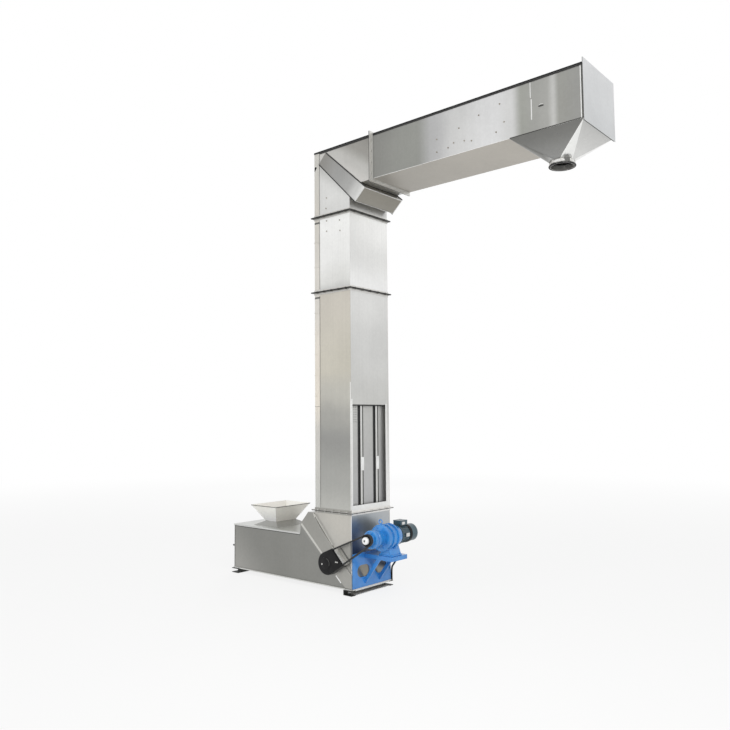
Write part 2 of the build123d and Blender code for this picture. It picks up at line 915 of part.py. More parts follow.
def elbow():
    """Elbow casing sheets, the hood at its inner corner and the diagonal covers on its sides."""
    points = elbow_points()
    y = column_y - seam
    with BuildPart() as casing:
        with BuildSketch(at_y(-column_y)):
            Polygon(*points, align=None)
        extrude(amount=column_t)
        mirror(about=Plane.XZ)
        block(wall_x, wall_x + column_t, -y, y, points[0][1], points[8][1])
        block(front_x - column_t, front_x, -y, y, points[1][1], points[2][1] - seam)
        block(points[5][0] + seam, points[6][0], -y, y, duct_z0, duct_z0 + column_t)
    save(casing.part, "elbow_casing")
    with BuildPart() as hood:
        with BuildSketch(at_y(y)):
            with BuildLine():
                Polyline(*points[2:6])
                offset(amount=column_t, side=Side.LEFT, closed=True)
            make_face()
        extrude(amount=2 * y)
    save(hood.part, "upper_corner_hood")


def upper_covers_parts():
    """Diagonal covers over the upper corner's bearings, one each side."""
    points = elbow_points()
    low, high = points[3], points[4]
    start_x = wall_x + seam
    band = [
        low,
        high,
        (wall_x + upper_band_top[0], duct_z1 - upper_band_top[1]),
        (start_x, duct_z1 - upper_band_back),
    ]
    inner = shrink(band, band_bevel + band_wall)
    near = tray(band, inner)
    with BuildPart() as covers:
        add(near)
        mirror(about=Plane.XZ)
    return save(covers.part, "upper_corner_covers")


# Duct, top covers and discharge
def duct():
    """Duct sheets, open below over the discharge hopper, and its oversize end plate."""
    x0 = duct_x0 + gasket_t / 2
    y = half_w - duct_t - seam
    with BuildPart() as casing:
        block(x0, duct_x1, half_w - duct_t, half_w, duct_z0, duct_z1)
        mirror(about=Plane.XZ)
        block(x0, outlet_x0, -y, y, duct_z0, duct_z0 + duct_t)
    save(casing.part, "duct_casing")
    with BuildPart() as plate:
        y0, y1 = -half_w - end_over_near, half_w + end_over_far
        x1 = duct_x1 + seam
        block(x1, x1 + end_plate_t, y0, y1, duct_z0 - end_over_bottom, duct_z1 + end_over_top)
    save(plate.part, "duct_end_plate")


def top_covers():
    """Lids of the elbow and the duct, with folded lips, and the black seals under the lips."""
    y_out = half_w + seal_t + cover_t
    clear = gasket_t / 2 + flange_w + lap + seam
    lids, seals = [], []
    runs = ((rear_x, duct_x0 - clear, 0, gasket_t / 2), (duct_x0 + clear, duct_x1 - seam, gasket_t / 2, 0))
    for x0, x1, start, stop in runs:
        near = duct_x0 + start if start else x0
        far = duct_x0 - stop if stop else x1
        with BuildPart() as lid:
            with BuildSketch(at_z(duct_z1)):
                with Locations((span(x0, x1), 0)):
                    Rectangle(x1 - x0, 2 * y_out)
                with Locations((span(near, far), 0)):
                    Rectangle(far - near, 2 * half_w)
            extrude(amount=top_t)
            with BuildSketch(at_z(duct_z1)):
                with Locations((span(x0, x1), y_out - cover_t / 2), (span(x0, x1), cover_t / 2 - y_out)):
                    Rectangle(x1 - x0, cover_t)
            extrude(amount=-(top_lip - seal_h))
        lids.append(lid.part)
        with BuildPart() as seal:
            y = half_w + span(seam, seal_t)
            with BuildSketch(at_z(duct_z1 - seal_h)):
                first = x0 + seal_gap_len if start else x0
                with Locations((span(first, x1), y), (span(first, x1), -y)):
                    Rectangle(x1 - first, seal_t - seam)
            extrude(amount=seal_h - seam)
        seals.append(seal.part)
    gather(lids, "top_covers")
    gather(seals, "cover_seals")


def discharge():
    """Square-to-round hopper under the duct, its spigot with a collar, and the drilled ring."""
    z1 = duct_z0 - seam
    z0 = duct_z0 - hopper_drop
    with BuildPart() as hopper:
        with BuildSketch(at_z(z1)):
            with Locations((outlet_x, 0)):
                Rectangle(outlet_len, casing_w)
        with BuildSketch(at_z(z0)):
            with Locations((outlet_x, 0)):
                Circle(spigot_r)
        loft()
        with BuildSketch(at_z(z1)):
            with Locations((outlet_x, 0)):
                Rectangle(outlet_len - 2 * cover_t, casing_w - 2 * cover_t)
        with BuildSketch(at_z(z0)):
            with Locations((outlet_x, 0)):
                Circle(spigot_r - cover_t)
        loft(mode=Mode.SUBTRACT)
    save(hopper.part, "outlet_hopper")
    with BuildPart() as spigot:
        with BuildSketch(at_z(z0 - seam)):
            with Locations((outlet_x, 0)):
                Circle(spigot_r)
                Circle(spigot_r - cover_t, mode=Mode.SUBTRACT)
        extrude(amount=-spigot_h)
        with BuildSketch(at_z(z0 - 2 * collar_t)):
            with Locations((outlet_x, 0)):
                Circle(spigot_r + collar_t)
                Circle(spigot_r - cover_t, mode=Mode.SUBTRACT)
        extrude(amount=-collar_w)
    save(spigot.part, "outlet_spigot")
    with BuildPart() as ring:
        with BuildSketch(at_z(z0 - seam - spigot_h)):
            with Locations((outlet_x, 0)):
                Circle(ring_r)
                Circle(spigot_r + fit, mode=Mode.SUBTRACT)
                with PolarLocations(ring_pcd / 2, ring_holes):
                    Circle(bolt_hole_r, mode=Mode.SUBTRACT)
        extrude(amount=ring_t)
    save(ring.part, "outlet_ring")


# Running gear
def chain_wheel():
    """Toothed wheel about the origin, in the far chain's plane, with hub and lightening holes."""
    with BuildPart() as wheel:
        with BuildSketch(at_y(chain_y + wheel_t / 2)):
            Circle(wheel_r + wheel_tip)
            with PolarLocations(wheel_r, wheel_teeth):
                Circle(roller_r + roller_gap, mode=Mode.SUBTRACT)
            with PolarLocations(wheel_r + wheel_flare, wheel_teeth):
                Circle(wheel_flare_r, mode=Mode.SUBTRACT)
            with PolarLocations(span(wheel_r, hub_r), wheel_holes):
                Circle(wheel_hole_r, mode=Mode.SUBTRACT)
        extrude(amount=wheel_t)
        with BuildSketch(at_y(chain_y + hub_len / 2)):
            Circle(hub_r)
        extrude(amount=hub_len)
        with BuildSketch(at_y(chain_y + hub_len / 2)):
            Circle(shaft_r + fit)
        extrude(amount=hub_len, mode=Mode.SUBTRACT)
    return wheel.part


def guide_disc():
    """Plain guide disc about the origin, in the far chain's plane, that the rollers run round."""
    with BuildPart() as disc:
        for width, r in ((wheel_t, guide_r - roller_r - track_clear), (hub_len, hub_r)):
            with BuildSketch(at_y(chain_y + width / 2)):
                Circle(r)
            extrude(amount=width)
        with BuildSketch(at_y(chain_y + hub_len / 2)):
            Circle(shaft_r + fit)
        extrude(amount=hub_len, mode=Mode.SUBTRACT)
    return disc.part


def shaft(axle, y0, y1):
    """Plain round shaft with chamfered ends."""
    with BuildPart() as bar:
        with BuildSketch(at_y(y1)):
            with Locations(axle):
                Circle(shaft_r)
        extrude(amount=y1 - y0)
        chamfer(bar.faces().filter_by(Plane.XZ).edges(), shaft_chamfer)
    return bar.part


def running_gear(pins):
    """Shafts and wheels of the six corners of the chain loop."""
    wheels = mirrored([chain_wheel()])
    discs = mirrored([guide_disc()])
    end = column_y - 2 * seam
    boot_end = inner_y - 2 * seam
    front = belt_y - belt_w - belt_gap / 2 - pulley_edge - seam
    save(shaft(drive_axle, front, boot_end), "drive_shaft")
    turned_wheels = {}
    for axle in (drive_axle, tail_axle, outer_axle, head_axle):
        turn = -wheel_phase(axle, pins)
        turned_wheels[axle] = [w for wheel in wheels for w in copies(wheel, [axle], turn)]
    for axle in (low_axle, inner_axle):
        turned_wheels[axle] = [d for disc in discs for d in copies(disc, [axle])]
    gather(turned_wheels[drive_axle], "drive_sprockets")
    ends = {"tail_wheels": (tail_axle, boot_end), "upper_corner_wheels": (outer_axle, end)}
    ends["head_wheels"] = (head_axle, end)
    for label, (axle, reach) in ends.items():
        gather([shaft(axle, -reach, reach)] + turned_wheels[axle], label)
    stubs = {"lower_guide_wheels": (low_axle, boot_end), "upper_guide_wheels": (inner_axle, end)}
    for label, (axle, reach) in stubs.items():
        gather(mirrored([shaft(axle, chain_y - hub_len / 2, reach)]) + turned_wheels[axle], label)


def bearing():
    """Flange bearing about the origin, seated on a wall at y = 0, with its boss towards -Y."""
    with BuildPart() as unit:
        with BuildSketch(at_y(0)):
            RectangleRounded(bearing_size, bearing_size, bearing_corner_r)
        extrude(amount=bearing_t - bearing_boss_t)
        with BuildSketch(at_y(0)):
            Circle(bearing_boss_r)
        extrude(amount=bearing_t)
        with BuildSketch(at_y(0)):
            Circle(shaft_r + running_fit)
        extrude(amount=bearing_t, mode=Mode.SUBTRACT)
    return unit.part


def bearings():
    """Fixed bearings of five shafts, and the sliding blocks with their screws at the tail."""
    walls = {drive_axle: inner_y, low_axle: inner_y, inner_axle: column_y, outer_axle: column_y}
    walls[head_axle] = half_w - duct_t
    unit = bearing()
    units = [unit.moved(Location((x, wall - wall_gap, z))) for (x, z), wall in walls.items()]
    gather(mirrored(units), "shaft_bearings")
    wall = inner_y - seam
    with BuildPart() as block_and_screw:
        add(unit.moved(Location((tail_axle[0], wall, tail_axle[1]))))
        with BuildSketch(at_x(boot_x0 - nut_t - screw_out)):
            with Locations((wall - screw_inset, tail_axle[1])):
                Circle(screw_r)
        extrude(until=Until.NEXT)
    gather(mirrored([block_and_screw.part]), "takeup_blocks")


def tracks(tip):
    """Rails that carry the chain rollers in the boot and duct, take-up guides and the tipping bar."""
    reach = wheel_r + wheel_tip + track_wheel_gap
    runs = [
        (strand_z0, tail_axle[0], drive_axle[0], inner_y),
        (strand_z1, tail_axle[0] + reach, drive_axle[0] - reach, inner_y),
        (strand_z2, inner_axle[0] + reach, duct_x0 - gasket_t, column_y),
        (strand_z2, duct_x0 + gasket_t, head_axle[0], half_w - duct_t),
        (strand_z3, outer_axle[0] + reach, duct_x0 - gasket_t, column_y),
        (strand_z3, duct_x0 + gasket_t, head_axle[0] - reach, half_w - duct_t),
    ]
    y0 = chain_y - track_rib / 2
    gap = rest_gap * 2
    with BuildPart() as rails:
        for z, x0, x1, wall in runs:
            top = z - roller_r - track_clear
            seat = z - plate_h / 2 - track_drop
            block(x0, x1, y0, y0 + track_rib, seat - seam, top)
            block(x0, x1, y0, wall - seam, seat - track_t, seat)
        half = bearing_size / 2 + rest_gap
        for z0 in (tail_axle[1] + half, tail_axle[1] - half - guide_bar_h):
            x0 = tail_axle[0] - guide_bar_l / 2
            block(x0, x0 + guide_bar_l, inner_y - guide_bar_d, inner_y - gap, z0, z0 + guide_bar_h)
        mirror(about=Plane.XZ)
    reach = half_w - duct_t - rest_gap
    with BuildPart() as bar:
        with BuildSketch(at_y(reach)):
            with Locations((tip[0] + tip_bar_x, tip[1] - tip_bar_drop)):
                Circle(tip_bar_r)
        extrude(amount=2 * reach)
    return gather([rails.part, bar.part], "chain_tracks")


def bucket_profile(shrink_by=0):
    """Closed section of a bucket about its pivot: wide mouth, narrower rounded foot."""
    with BuildSketch() as section:
        with BuildLine():
            Polyline(
                (-bucket_top, bucket_up),
                (-bucket_foot, -bucket_down),
                (bucket_foot, -bucket_down),
                (bucket_top, bucket_up),
                close=True,
            )
        make_face()
        fillet(section.vertices().group_by(Axis.Y)[0], bucket_corner_r)
        if shrink_by:
            offset(amount=-shrink_by)
            with Locations((0, bucket_up)):
                Rectangle(2 * (bucket_top - 1.5 * shrink_by), 4 * shrink_by)
    return section.sketch


def bucket():
    """One bucket hung about the origin: folded trough, two end caps and a trunnion on each."""
    half = bucket_w / 2
    reach = chain_y - plate_gap / 2 - plate_t - rest_gap
    with BuildPart() as trough:
        with BuildSketch(at_y(half)):
            add(bucket_profile())
        extrude(amount=bucket_w)
        with BuildSketch(at_y(half - bucket_t)):
            add(bucket_profile(bucket_t))
        extrude(amount=bucket_w - 2 * bucket_t, mode=Mode.SUBTRACT)
        for y in (reach, -half):
            with BuildSketch(at_y(y)):
                Circle(trunnion_r)
            extrude(amount=reach - half)
    return trough.part


def chain_loop(path, pins):
    """Two chains: continuous side-plate bands with a roller at every pin."""
    bands = []
    for y in (chain_y + plate_gap / 2 + plate_t, chain_y - plate_gap / 2):
        with BuildPart() as band:
            with BuildSketch(at_y(y)):
                with BuildLine():
                    add(Plane.XZ.to_local_coords(path))
                make_face()
                inside = offset(amount=-plate_h / 2, mode=Mode.PRIVATE)
                offset(amount=plate_h / 2)
                add(inside, mode=Mode.SUBTRACT)
            extrude(amount=plate_t)
        bands.append(band.part)
    with BuildPart() as roller:
        with BuildSketch(at_y(chain_y + plate_gap / 2 - fit)):
            Circle(roller_r)
        extrude(amount=plate_gap - 2 * fit)
    return gather(mirrored(bands + copies(roller.part, pins)), "bucket_chains")


# Belt drive
def pulley(axle, r, bore):
    """Two-groove pulley with flat rims and a bored hub."""
    width = 2 * belt_w + belt_gap + 2 * pulley_edge
    back = belt_y + width / 2
    floor_r = r - belt_depth + belt_out - rest_gap
    with BuildPart() as wheel:
        with BuildSketch(at_y(back)):
            with Locations(axle):
                Circle(r + belt_out - rim_drop)
        extrude(amount=width)
        for y in (belt_y + belt_gap / 2 + belt_w + seam, belt_y - belt_gap / 2 + seam):
            with BuildSketch(at_y(y)):
                with Locations(axle):
                    Circle(r + 2 * belt_out)
                    Circle(floor_r, mode=Mode.SUBTRACT)
            extrude(amount=belt_w + 2 * seam, mode=Mode.SUBTRACT)
        with BuildSketch(at_y(back)):
            with Locations(axle):
                Circle(bore + fit)
        extrude(amount=width, mode=Mode.SUBTRACT)
    return wheel.part


def belt_loop():
    """The two V-belts round both pulleys."""
    with BuildPart() as belts:
        for y in (belt_y + belt_gap / 2 + belt_w, belt_y - belt_gap / 2):
            with BuildSketch(at_y(y)) as loop:
                with BuildSketch(mode=Mode.PRIVATE) as outer:
                    with Locations(drive_axle):
                        Circle(drive_r + belt_out)
                    with Locations(pinion_axle):
                        Circle(pinion_r + belt_out)
                    make_hull()
                with BuildSketch(mode=Mode.PRIVATE) as inner:
                    with Locations(drive_axle):
                        Circle(drive_r + belt_out - belt_depth)
                    with Locations(pinion_axle):
                        Circle(pinion_r + belt_out - belt_depth)
                    make_hull()
                add(outer.sketch)
                add(inner.sketch, mode=Mode.SUBTRACT)
            extrude(amount=belt_w)
    return save(belts.part, "drive_belts")


def guard_face(r, chord):
    """Outline of the belt guard: round the big pulley, along both strands, cut on the mitre line."""
    cx, cz = drive_axle
    dx, dz = motor_x - cx, motor_z - cz
    heading = atan2(dz, dx)
    spread_angle = asin((drive_r - pinion_r) / hypot(dx, dz))
    up, down = heading - spread_angle, heading + spread_angle
    top = (cx - r * sin(up), cz + r * cos(up))
    bottom = (cx + r * sin(down), cz - r * cos(down))
    n = cos(radians(45))
    top_run = (chord - ((top[0] - cx) * n + (top[1] - cz) * n)) / ((cos(up) + sin(up)) * n)
    low_run = (chord - ((bottom[0] - cx) * n + (bottom[1] - cz) * n)) / ((cos(down) + sin(down)) * n)
    top_end = (top[0] + top_run * cos(up), top[1] + top_run * sin(up))
    low_end = (bottom[0] + low_run * cos(down), bottom[1] + low_run * sin(down))
    with BuildSketch() as face:
        with BuildLine():
            Line(bottom, low_end)
            Line(low_end, top_end)
            Line(top_end, top)
            ThreePointArc(top, (cx - r * cos(heading), cz - r * sin(heading)), bottom)
        make_face()
    return face.sketch


def belt_drive():
    """Pulleys, belts, the black guard over the big pulley, and the white cap on the small one."""
    save(pulley(drive_axle, drive_r, shaft_r), "driven_pulley")
    save(pulley(pinion_axle, pinion_r, shaft_r), "drive_pulley")
    belt_loop()
    back = -half_w - seam - band_t - guard_seat
    with BuildPart() as guard:
        with BuildSketch(at_y(back)):
            add(guard_face(guard_r, guard_chord))
        extrude(amount=guard_d)
        with BuildSketch(at_y(back)):
            add(guard_face(guard_r - guard_t, guard_chord + guard_mouth))
        extrude(amount=guard_d - guard_t, mode=Mode.SUBTRACT)
        with BuildSketch(at_y(back - guard_d)):
            with Locations(drive_axle):
                Circle(guard_disc_r)
        extrude(amount=guard_disc_t)
    save(guard.part, "belt_guard")
    face = belt_y - belt_w - belt_gap / 2 - pulley_edge
    with BuildPart() as cap:
        with BuildSketch(at_y(face)):
            with Locations(pinion_axle):
                Circle(cap_r)
        extrude(amount=cap_len)
        fillet(cap.faces().sort_by(Axis.Y)[0].edges(), cap_bore_r / 2)
        with BuildSketch(at_y(face - cap_len)):
            with Locations(pinion_axle):
                Circle(cap_bore_r)
        extrude(amount=-cap_bore_len, mode=Mode.SUBTRACT)
        with BuildSketch(at_y(face)):
            with Locations(pinion_axle):
                Circle(shaft_r + fit)
        extrude(amount=cap_seat_len, mode=Mode.SUBTRACT)
    save(cap.part, "pulley_cap")


# Geared motor
def turned(profile):
    """Solid of revolution about the motor's axis, from (distance along Y, radius) pairs."""
    with BuildPart() as shape:
        with BuildSketch(Plane(origin=(motor_x, 0, motor_z), x_dir=(0, 1, 0), z_dir=(1, 0, 0))):
            Polygon(*profile, align=None)
        revolve(axis=Axis((motor_x, 0, motor_z), (0, 1, 0)))
    return shape.part


def reducer_steps():
    """Outer radius of the reducer along its axis, as (start, radius) steps."""
    steps = [(reducer_start, nose_r), (reducer_start + nose_len, neck_r), (neck_end, waist_r)]
    for start in rib_starts:
        steps += [(start, rib_r), (start + rib_t, drum_r)]
    return steps[:-1] + [(rib_starts[-1] + rib_t, cone_r)]


def reducer():
    """Reducer housing with its ribs and foot, the lifting eye and the output shaft."""
    steps = reducer_steps()
    stops = [start for start, _ in steps[1:]] + [reducer_end]
    outline = [(reducer_start, shaft_r + running_fit)]
    for (start, radius), stop in zip(steps, stops):
        outline += [(start, radius), (stop, radius)]
    nose_end = reducer_start + 3 * nose_len
    outline += [
        (reducer_end, rotor_r + running_fit),
        (reducer_end - housing_wall, rotor_r + running_fit),
        (reducer_end - housing_wall, cone_r - housing_wall),
        (rib_starts[0] + housing_wall, drum_r - housing_wall),
        (rib_starts[0], waist_r - housing_wall),
        (nose_end, waist_r - housing_wall),
        (nose_end, shaft_r + running_fit),
    ]
    with BuildPart() as housing:
        add(turned(outline))
        y0, y1 = foot_pad_y0, foot_pad_y1
        half = foot_pad_l / 2
        block(motor_x - half, motor_x + half, y0, y1, deck_z, deck_z + foot_pad_t)
        web_top = motor_z - drum_r + housing_wall / 2
        for x in (motor_x - half + web_t, motor_x + half - 2 * web_t):
            lean = (x - motor_x) * (1 - web_lean)
            with BuildSketch(at_y(y1)):
                Polygon(
                    (x, deck_z + foot_pad_t),
                    (x + web_t, deck_z + foot_pad_t),
                    (x - lean + web_t, web_top + web_t),
                    (x - lean, web_top + web_t),
                    align=None,
                )
            extrude(amount=y1 - y0)
        for y in (y0, y1 - web_t):
            block(motor_x - half + web_t, motor_x + half - web_t, y, y + web_t, deck_z, web_top)
    save(housing.part, "reducer_housing")
    eye_z = motor_z + rib_r + eye_stem_h + eye_r
    with BuildPart() as eye:
        with BuildSketch(at_z(motor_z + rib_r)):
            with Locations((motor_x, eye_y)):
                Circle(eye_stem_r)
        extrude(amount=eye_stem_h)
        with Locations(Location((motor_x, eye_y, eye_z), (90, 0, 0))):
            Torus(eye_r, eye_wire_r)
    save(eye.part, "lifting_eye")
    face = belt_y - belt_w - belt_gap / 2 - pulley_edge
    with BuildPart() as output:
        with BuildSketch(at_y(rib_starts[0])):
            with Locations(pinion_axle):
                Circle(shaft_r)
        extrude(amount=rib_starts[0] - face + cap_len / 2)
    save(output.part, "output_shaft")


def motor():
    """Finned motor body, terminal box, rotor with its fan, and the fan cover."""
    y0 = reducer_end + seam
    body = [
        (y0, rotor_r + motor_bore_gap),
        (y0, motor_flange_r),
        (y0 + motor_flange_t, motor_flange_r),
        (y0 + motor_flange_t, motor_r),
        (motor_end, motor_r),
        (motor_end, rotor_r + running_fit),
        (motor_end - motor_end_t, rotor_r + running_fit),
        (motor_end - motor_end_t, motor_r - motor_wall),
        (y0 + motor_end_t, motor_r - motor_wall),
        (y0 + motor_end_t, rotor_r + motor_bore_gap),
    ]
    with BuildPart() as shell:
        add(turned(body))
        with BuildSketch(at_y(motor_end - fin_inset)):
            with Locations(pinion_axle):
                with PolarLocations(span(motor_r - fin_root, fin_r), fin_n):
                    Rectangle(fin_r - motor_r + fin_root, fin_t)
        extrude(amount=motor_end - 2 * fin_inset - y0 - motor_flange_t)
    save(shell.part, "motor_body")
    with BuildPart() as box:
        z0 = motor_z + fin_r + seam
        block(motor_x - box_l / 2, motor_x + box_l / 2, box_y, box_y + box_w, z0, z0 + box_h)
        fillet(box.edges().filter_by(Axis.Z), box_corner_r)
        block(
            motor_x - box_l / 2 + box_wall,
            motor_x + box_l / 2 - box_wall,
            box_y + box_wall,
            box_y + box_w - box_wall,
            z0 + box_wall,
            z0 + box_h - box_wall,
            Mode.SUBTRACT,
        )
    save(box.part, "terminal_box")
    with BuildPart() as fan:
        with BuildSketch(at_y(fan_y + fan_t)):
            with Locations(pinion_axle):
                Circle(fan_hub_r)
                with PolarLocations(fan_blade_mid_r, fan_blades):
                    Rectangle(fan_blade_l, fan_blade_t)
                Circle(rotor_r + fit, mode=Mode.SUBTRACT)
        extrude(amount=fan_t)
    with BuildPart() as rotor:
        with BuildSketch(at_y(fan_y + fan_t + rotor_tail)):
            with Locations(pinion_axle):
                Circle(rotor_r)
        extrude(amount=fan_y + fan_t + rotor_tail - rotor_start)
    gather([fan.part, rotor.part], "motor_rotor")
    r_in = motor_r + rest_gap
    r_out = r_in + fan_cover_t
    start, stop = motor_end - fan_cover_lap, fan_cover_end
    cover = [
        (start, r_in),
        (start, r_out),
        (stop - fan_cover_bend, r_out),
        (stop, r_out - fan_cover_bend),
        (stop, 0),
        (stop - fan_cover_t, 0),
        (stop - fan_cover_t, r_in - fan_cover_bend),
        (stop - fan_cover_bend - fan_cover_t, r_in),
    ]
    with BuildPart() as hood:
        add(turned(cover))
        with BuildSketch(at_y(fan_cover_end)):
            with Locations(pinion_axle):
                for ring in vent_rings:
                    with PolarLocations(ring, round(ring / 2)):
                        Circle(vent_r)
        extrude(amount=2 * fan_cover_t, mode=Mode.SUBTRACT)
    save(hood.part, "fan_cover")


def motor_bracket():
    """Welded bracket on the boot's end: drilled backing plate, deck, beams and two braces."""
    x0 = front_x + rail_t + 2 * seam
    backing_x = front_x + seam
    with BuildPart() as bracket:
        low = foot_h + rail_t + seam
        y1 = half_w - backing_inset
        with BuildSketch(at_x(backing_x)):
            with Locations((0, span(low, backing_top))):
                Rectangle(2 * y1, backing_top - low)
            with Locations((-backing_hole_y, backing_hole_z), (backing_hole_y, backing_hole_z)):
                SlotOverall(backing_hole_w, backing_hole_h, mode=Mode.SUBTRACT)
        extrude(amount=backing_t)
        x0 = backing_x + backing_t
        block(x0, deck_end, deck_y0, deck_y1, deck_z - deck_t, deck_z)
        for y in (deck_y0, deck_y1 - beam_t):
            block(x0, deck_end, y, y + beam_t, deck_z - beam_h, deck_z)
        block(deck_end - beam_t, deck_end, deck_y0, deck_y1, deck_z - beam_h, deck_z)
        for y in (deck_y0 + brace_t, deck_y1):
            with BuildSketch(at_y(y)):
                Polygon(
                    (x0, brace_foot_z),
                    (x0, brace_foot_z + brace_foot_w),
                    (brace_top_x - brace_top_half, deck_z - deck_t),
                    (brace_top_x + brace_top_half, deck_z - deck_t),
                    (x0 + brace_foot_in, brace_foot_z),
                    align=None,
                )
            extrude(amount=brace_t)
    save(bracket.part, "motor_bracket")
    rod_x, rod_y = front_x + foot_overhang - stay_inset, half_w + foot_end_overhang - 2 * stay_r
    with BuildPart() as stay:
        with BuildLine() as line:
            FilletPolyline(
                (rod_x, rod_y, foot_h),
                (rod_x, rod_y, stay_bend_low),
                (stay_x, stay_y, stay_bend_high),
                (stay_x, stay_y, deck_z - deck_t),
                radius=stay_bend_r,
            )
        with BuildSketch(Plane.XY.offset(foot_h)):
            with Locations((rod_x, rod_y)):
                Circle(stay_r)
        sweep(path=line.line)
    save(stay.part, "stay_rod")


def screws():
    """Dome-head screws on the casing's near side."""
    spots = [(rear_x + dx, top_joint + dz) for dx, dz in column_screws]
    spots += [(duct_x0 + dx, duct_z0 + dz) for dx, dz in duct_screws]
    with BuildPart() as heads:
        with BuildSketch(at_y(-half_w)):
            with Locations(*spots):
                Circle(screw_head_r)
        extrude(amount=screw_head_h)
    return save(heads.part, "panel_screws")


def main():
    """Build every piece and write its file."""
    os.makedirs("parts", exist_ok=True)
    path = chain_path()
    pins = pin_points(path)
    foot_channels()
    base_rails()
    boot_sides()
    boot_ends()
    boot_lid()
    lower_hood()
    inlet()
    lower_covers()
    column_sections()
    rear_covers()
    flanges()
    window_parts()
    elbow()
    upper_covers_parts()
    duct()
    top_covers()
    discharge()
    running_gear(pins)
    bearings()
    places = pins[::bucket_every]
    outlet_pins = [p for p in places if abs(p[1] - strand_z2) < 1]
    tip = min(outlet_pins, key=lambda p: abs(p[0] - outlet_x))
    tracks(tip)
    gather(copies(bucket(), [p for p in places if p != tip]), "buckets")
    gather(copies(bucket(), [tip]), "tipping_bucket")
    chain_loop(path, pins)
    belt_drive()
    reducer()
    motor()
    motor_bracket()
    screws()


main()
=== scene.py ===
"""Looks of a Z-type bucket elevator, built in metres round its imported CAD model."""
from __future__ import annotations

import json
import logging
import math
from dataclasses import dataclass
from enum import Enum
from typing import Any, Sequence

import bmesh
import bpy
import numpy as np
from mathutils import Matrix, Vector

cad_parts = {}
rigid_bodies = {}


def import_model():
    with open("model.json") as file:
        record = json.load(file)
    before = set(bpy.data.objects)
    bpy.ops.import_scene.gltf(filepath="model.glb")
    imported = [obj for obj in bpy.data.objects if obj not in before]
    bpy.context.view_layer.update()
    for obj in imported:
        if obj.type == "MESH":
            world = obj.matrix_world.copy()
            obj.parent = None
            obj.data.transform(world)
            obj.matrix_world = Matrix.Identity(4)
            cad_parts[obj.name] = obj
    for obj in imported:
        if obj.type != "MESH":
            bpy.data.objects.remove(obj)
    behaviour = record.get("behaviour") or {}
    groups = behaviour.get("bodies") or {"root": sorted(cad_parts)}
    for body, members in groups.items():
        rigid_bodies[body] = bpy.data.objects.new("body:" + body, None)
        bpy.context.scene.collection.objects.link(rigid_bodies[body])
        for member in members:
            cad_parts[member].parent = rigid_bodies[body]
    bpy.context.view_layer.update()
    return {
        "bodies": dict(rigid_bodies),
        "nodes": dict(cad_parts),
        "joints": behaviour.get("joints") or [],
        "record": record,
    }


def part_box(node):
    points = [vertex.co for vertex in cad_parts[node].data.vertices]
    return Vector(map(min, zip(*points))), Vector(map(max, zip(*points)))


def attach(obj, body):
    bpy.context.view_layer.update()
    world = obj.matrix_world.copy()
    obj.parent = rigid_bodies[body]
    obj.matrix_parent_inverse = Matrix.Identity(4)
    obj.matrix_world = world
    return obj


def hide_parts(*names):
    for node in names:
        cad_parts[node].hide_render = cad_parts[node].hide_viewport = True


LOG = logging.getLogger("bucket_elevator")
MM = 0.001
# Where the Mix node keeps its two colours and its result
MIX_A, MIX_B, MIX_RESULT = 6, 7, 2
SMOOTH_BELOW = math.radians(32)
SAME_POINT = 1e-6
# A face looks one way where its normal reaches this far along it
FACES_IT = 0.6

Pair = tuple[float, float]
Triple = tuple[float, float, float]
Stops = tuple[tuple[float, str], ...]
Tree = bpy.types.NodeTree
Node = bpy.types.Node
Socket = bpy.types.NodeSocket


def linear(hex_code: str) -> tuple[float, float, float, float]:
    """Turn an sRGB hex colour to the linear values that shaders use.

    Args:
        hex_code: six hex digits after a hash.

    Returns:
        Linear red, green, blue and an alpha of one.
    """
    values = [int(hex_code[i : i + 2], 16) / 255 for i in (1, 3, 5)]
    curve = [v / 12.92 if v <= 0.04045 else ((v + 0.055) / 1.055) ** 2.4 for v in values]
    return (curve[0], curve[1], curve[2], 1.0)


def fill(tree: Tree, node: Node, inputs: dict[Any, Any]) -> None:
    """Set or link a node's inputs.

    Args:
        tree: the material's node tree.
        node: the node.
        inputs: values or output sockets, by the input's name or number.
    """
    for key, value in inputs.items():
        if isinstance(value, Socket):
            tree.links.new(value, node.inputs[key])
        else:
            node.inputs[key].default_value = value


def add(tree: Tree, kind: str, inputs: dict[Any, Any], **settings: Any) -> Node:
    """Add one node, with its settings and inputs.

    Args:
        tree: the material's node tree.
        kind: the node's class name.
        inputs: values or output sockets, by the input's name or number.
        settings: the node's own fields.

    Returns:
        The new node.
    """
    node = tree.nodes.new(kind)
    for key, value in settings.items():
        setattr(node, key, value)
    fill(tree, node, inputs)
    return node


def blank_tree(owner: bpy.types.Material | bpy.types.World) -> Tree:
    """Switch on a material's or a world's node tree and empty it.

    Args:
        owner: the material or the world.

    Returns:
        The empty tree.
    """
    owner.use_nodes = True
    owner.node_tree.nodes.clear()
    return owner.node_tree


def any_ray(tree: Tree, *kinds: str) -> Socket:
    """One where the ray is of any of the kinds, else zero.

    Args:
        tree: the material's or the world's node tree.
        kinds: names of the Light Path node's outputs.

    Returns:
        The answer's socket.
    """
    rays = add(tree, "ShaderNodeLightPath", {}).outputs
    hit = rays[kinds[0]]
    for kind in kinds[1:]:
        hit = add(tree, "ShaderNodeMath", {0: hit, 1: rays[kind]}, operation="MAXIMUM").outputs[0]
    return hit


class Facing(Enum):
    """Directions that a face can look in."""

    FRONT = (1.0, 0.0, 0.0)
    BACK = (-1.0, 0.0, 0.0)
    NEAR = (0.0, -1.0, 0.0)
    FAR = (0.0, 1.0, 0.0)
    UP = (0.0, 0.0, 1.0)
    DOWN = (0.0, 0.0, -1.0)


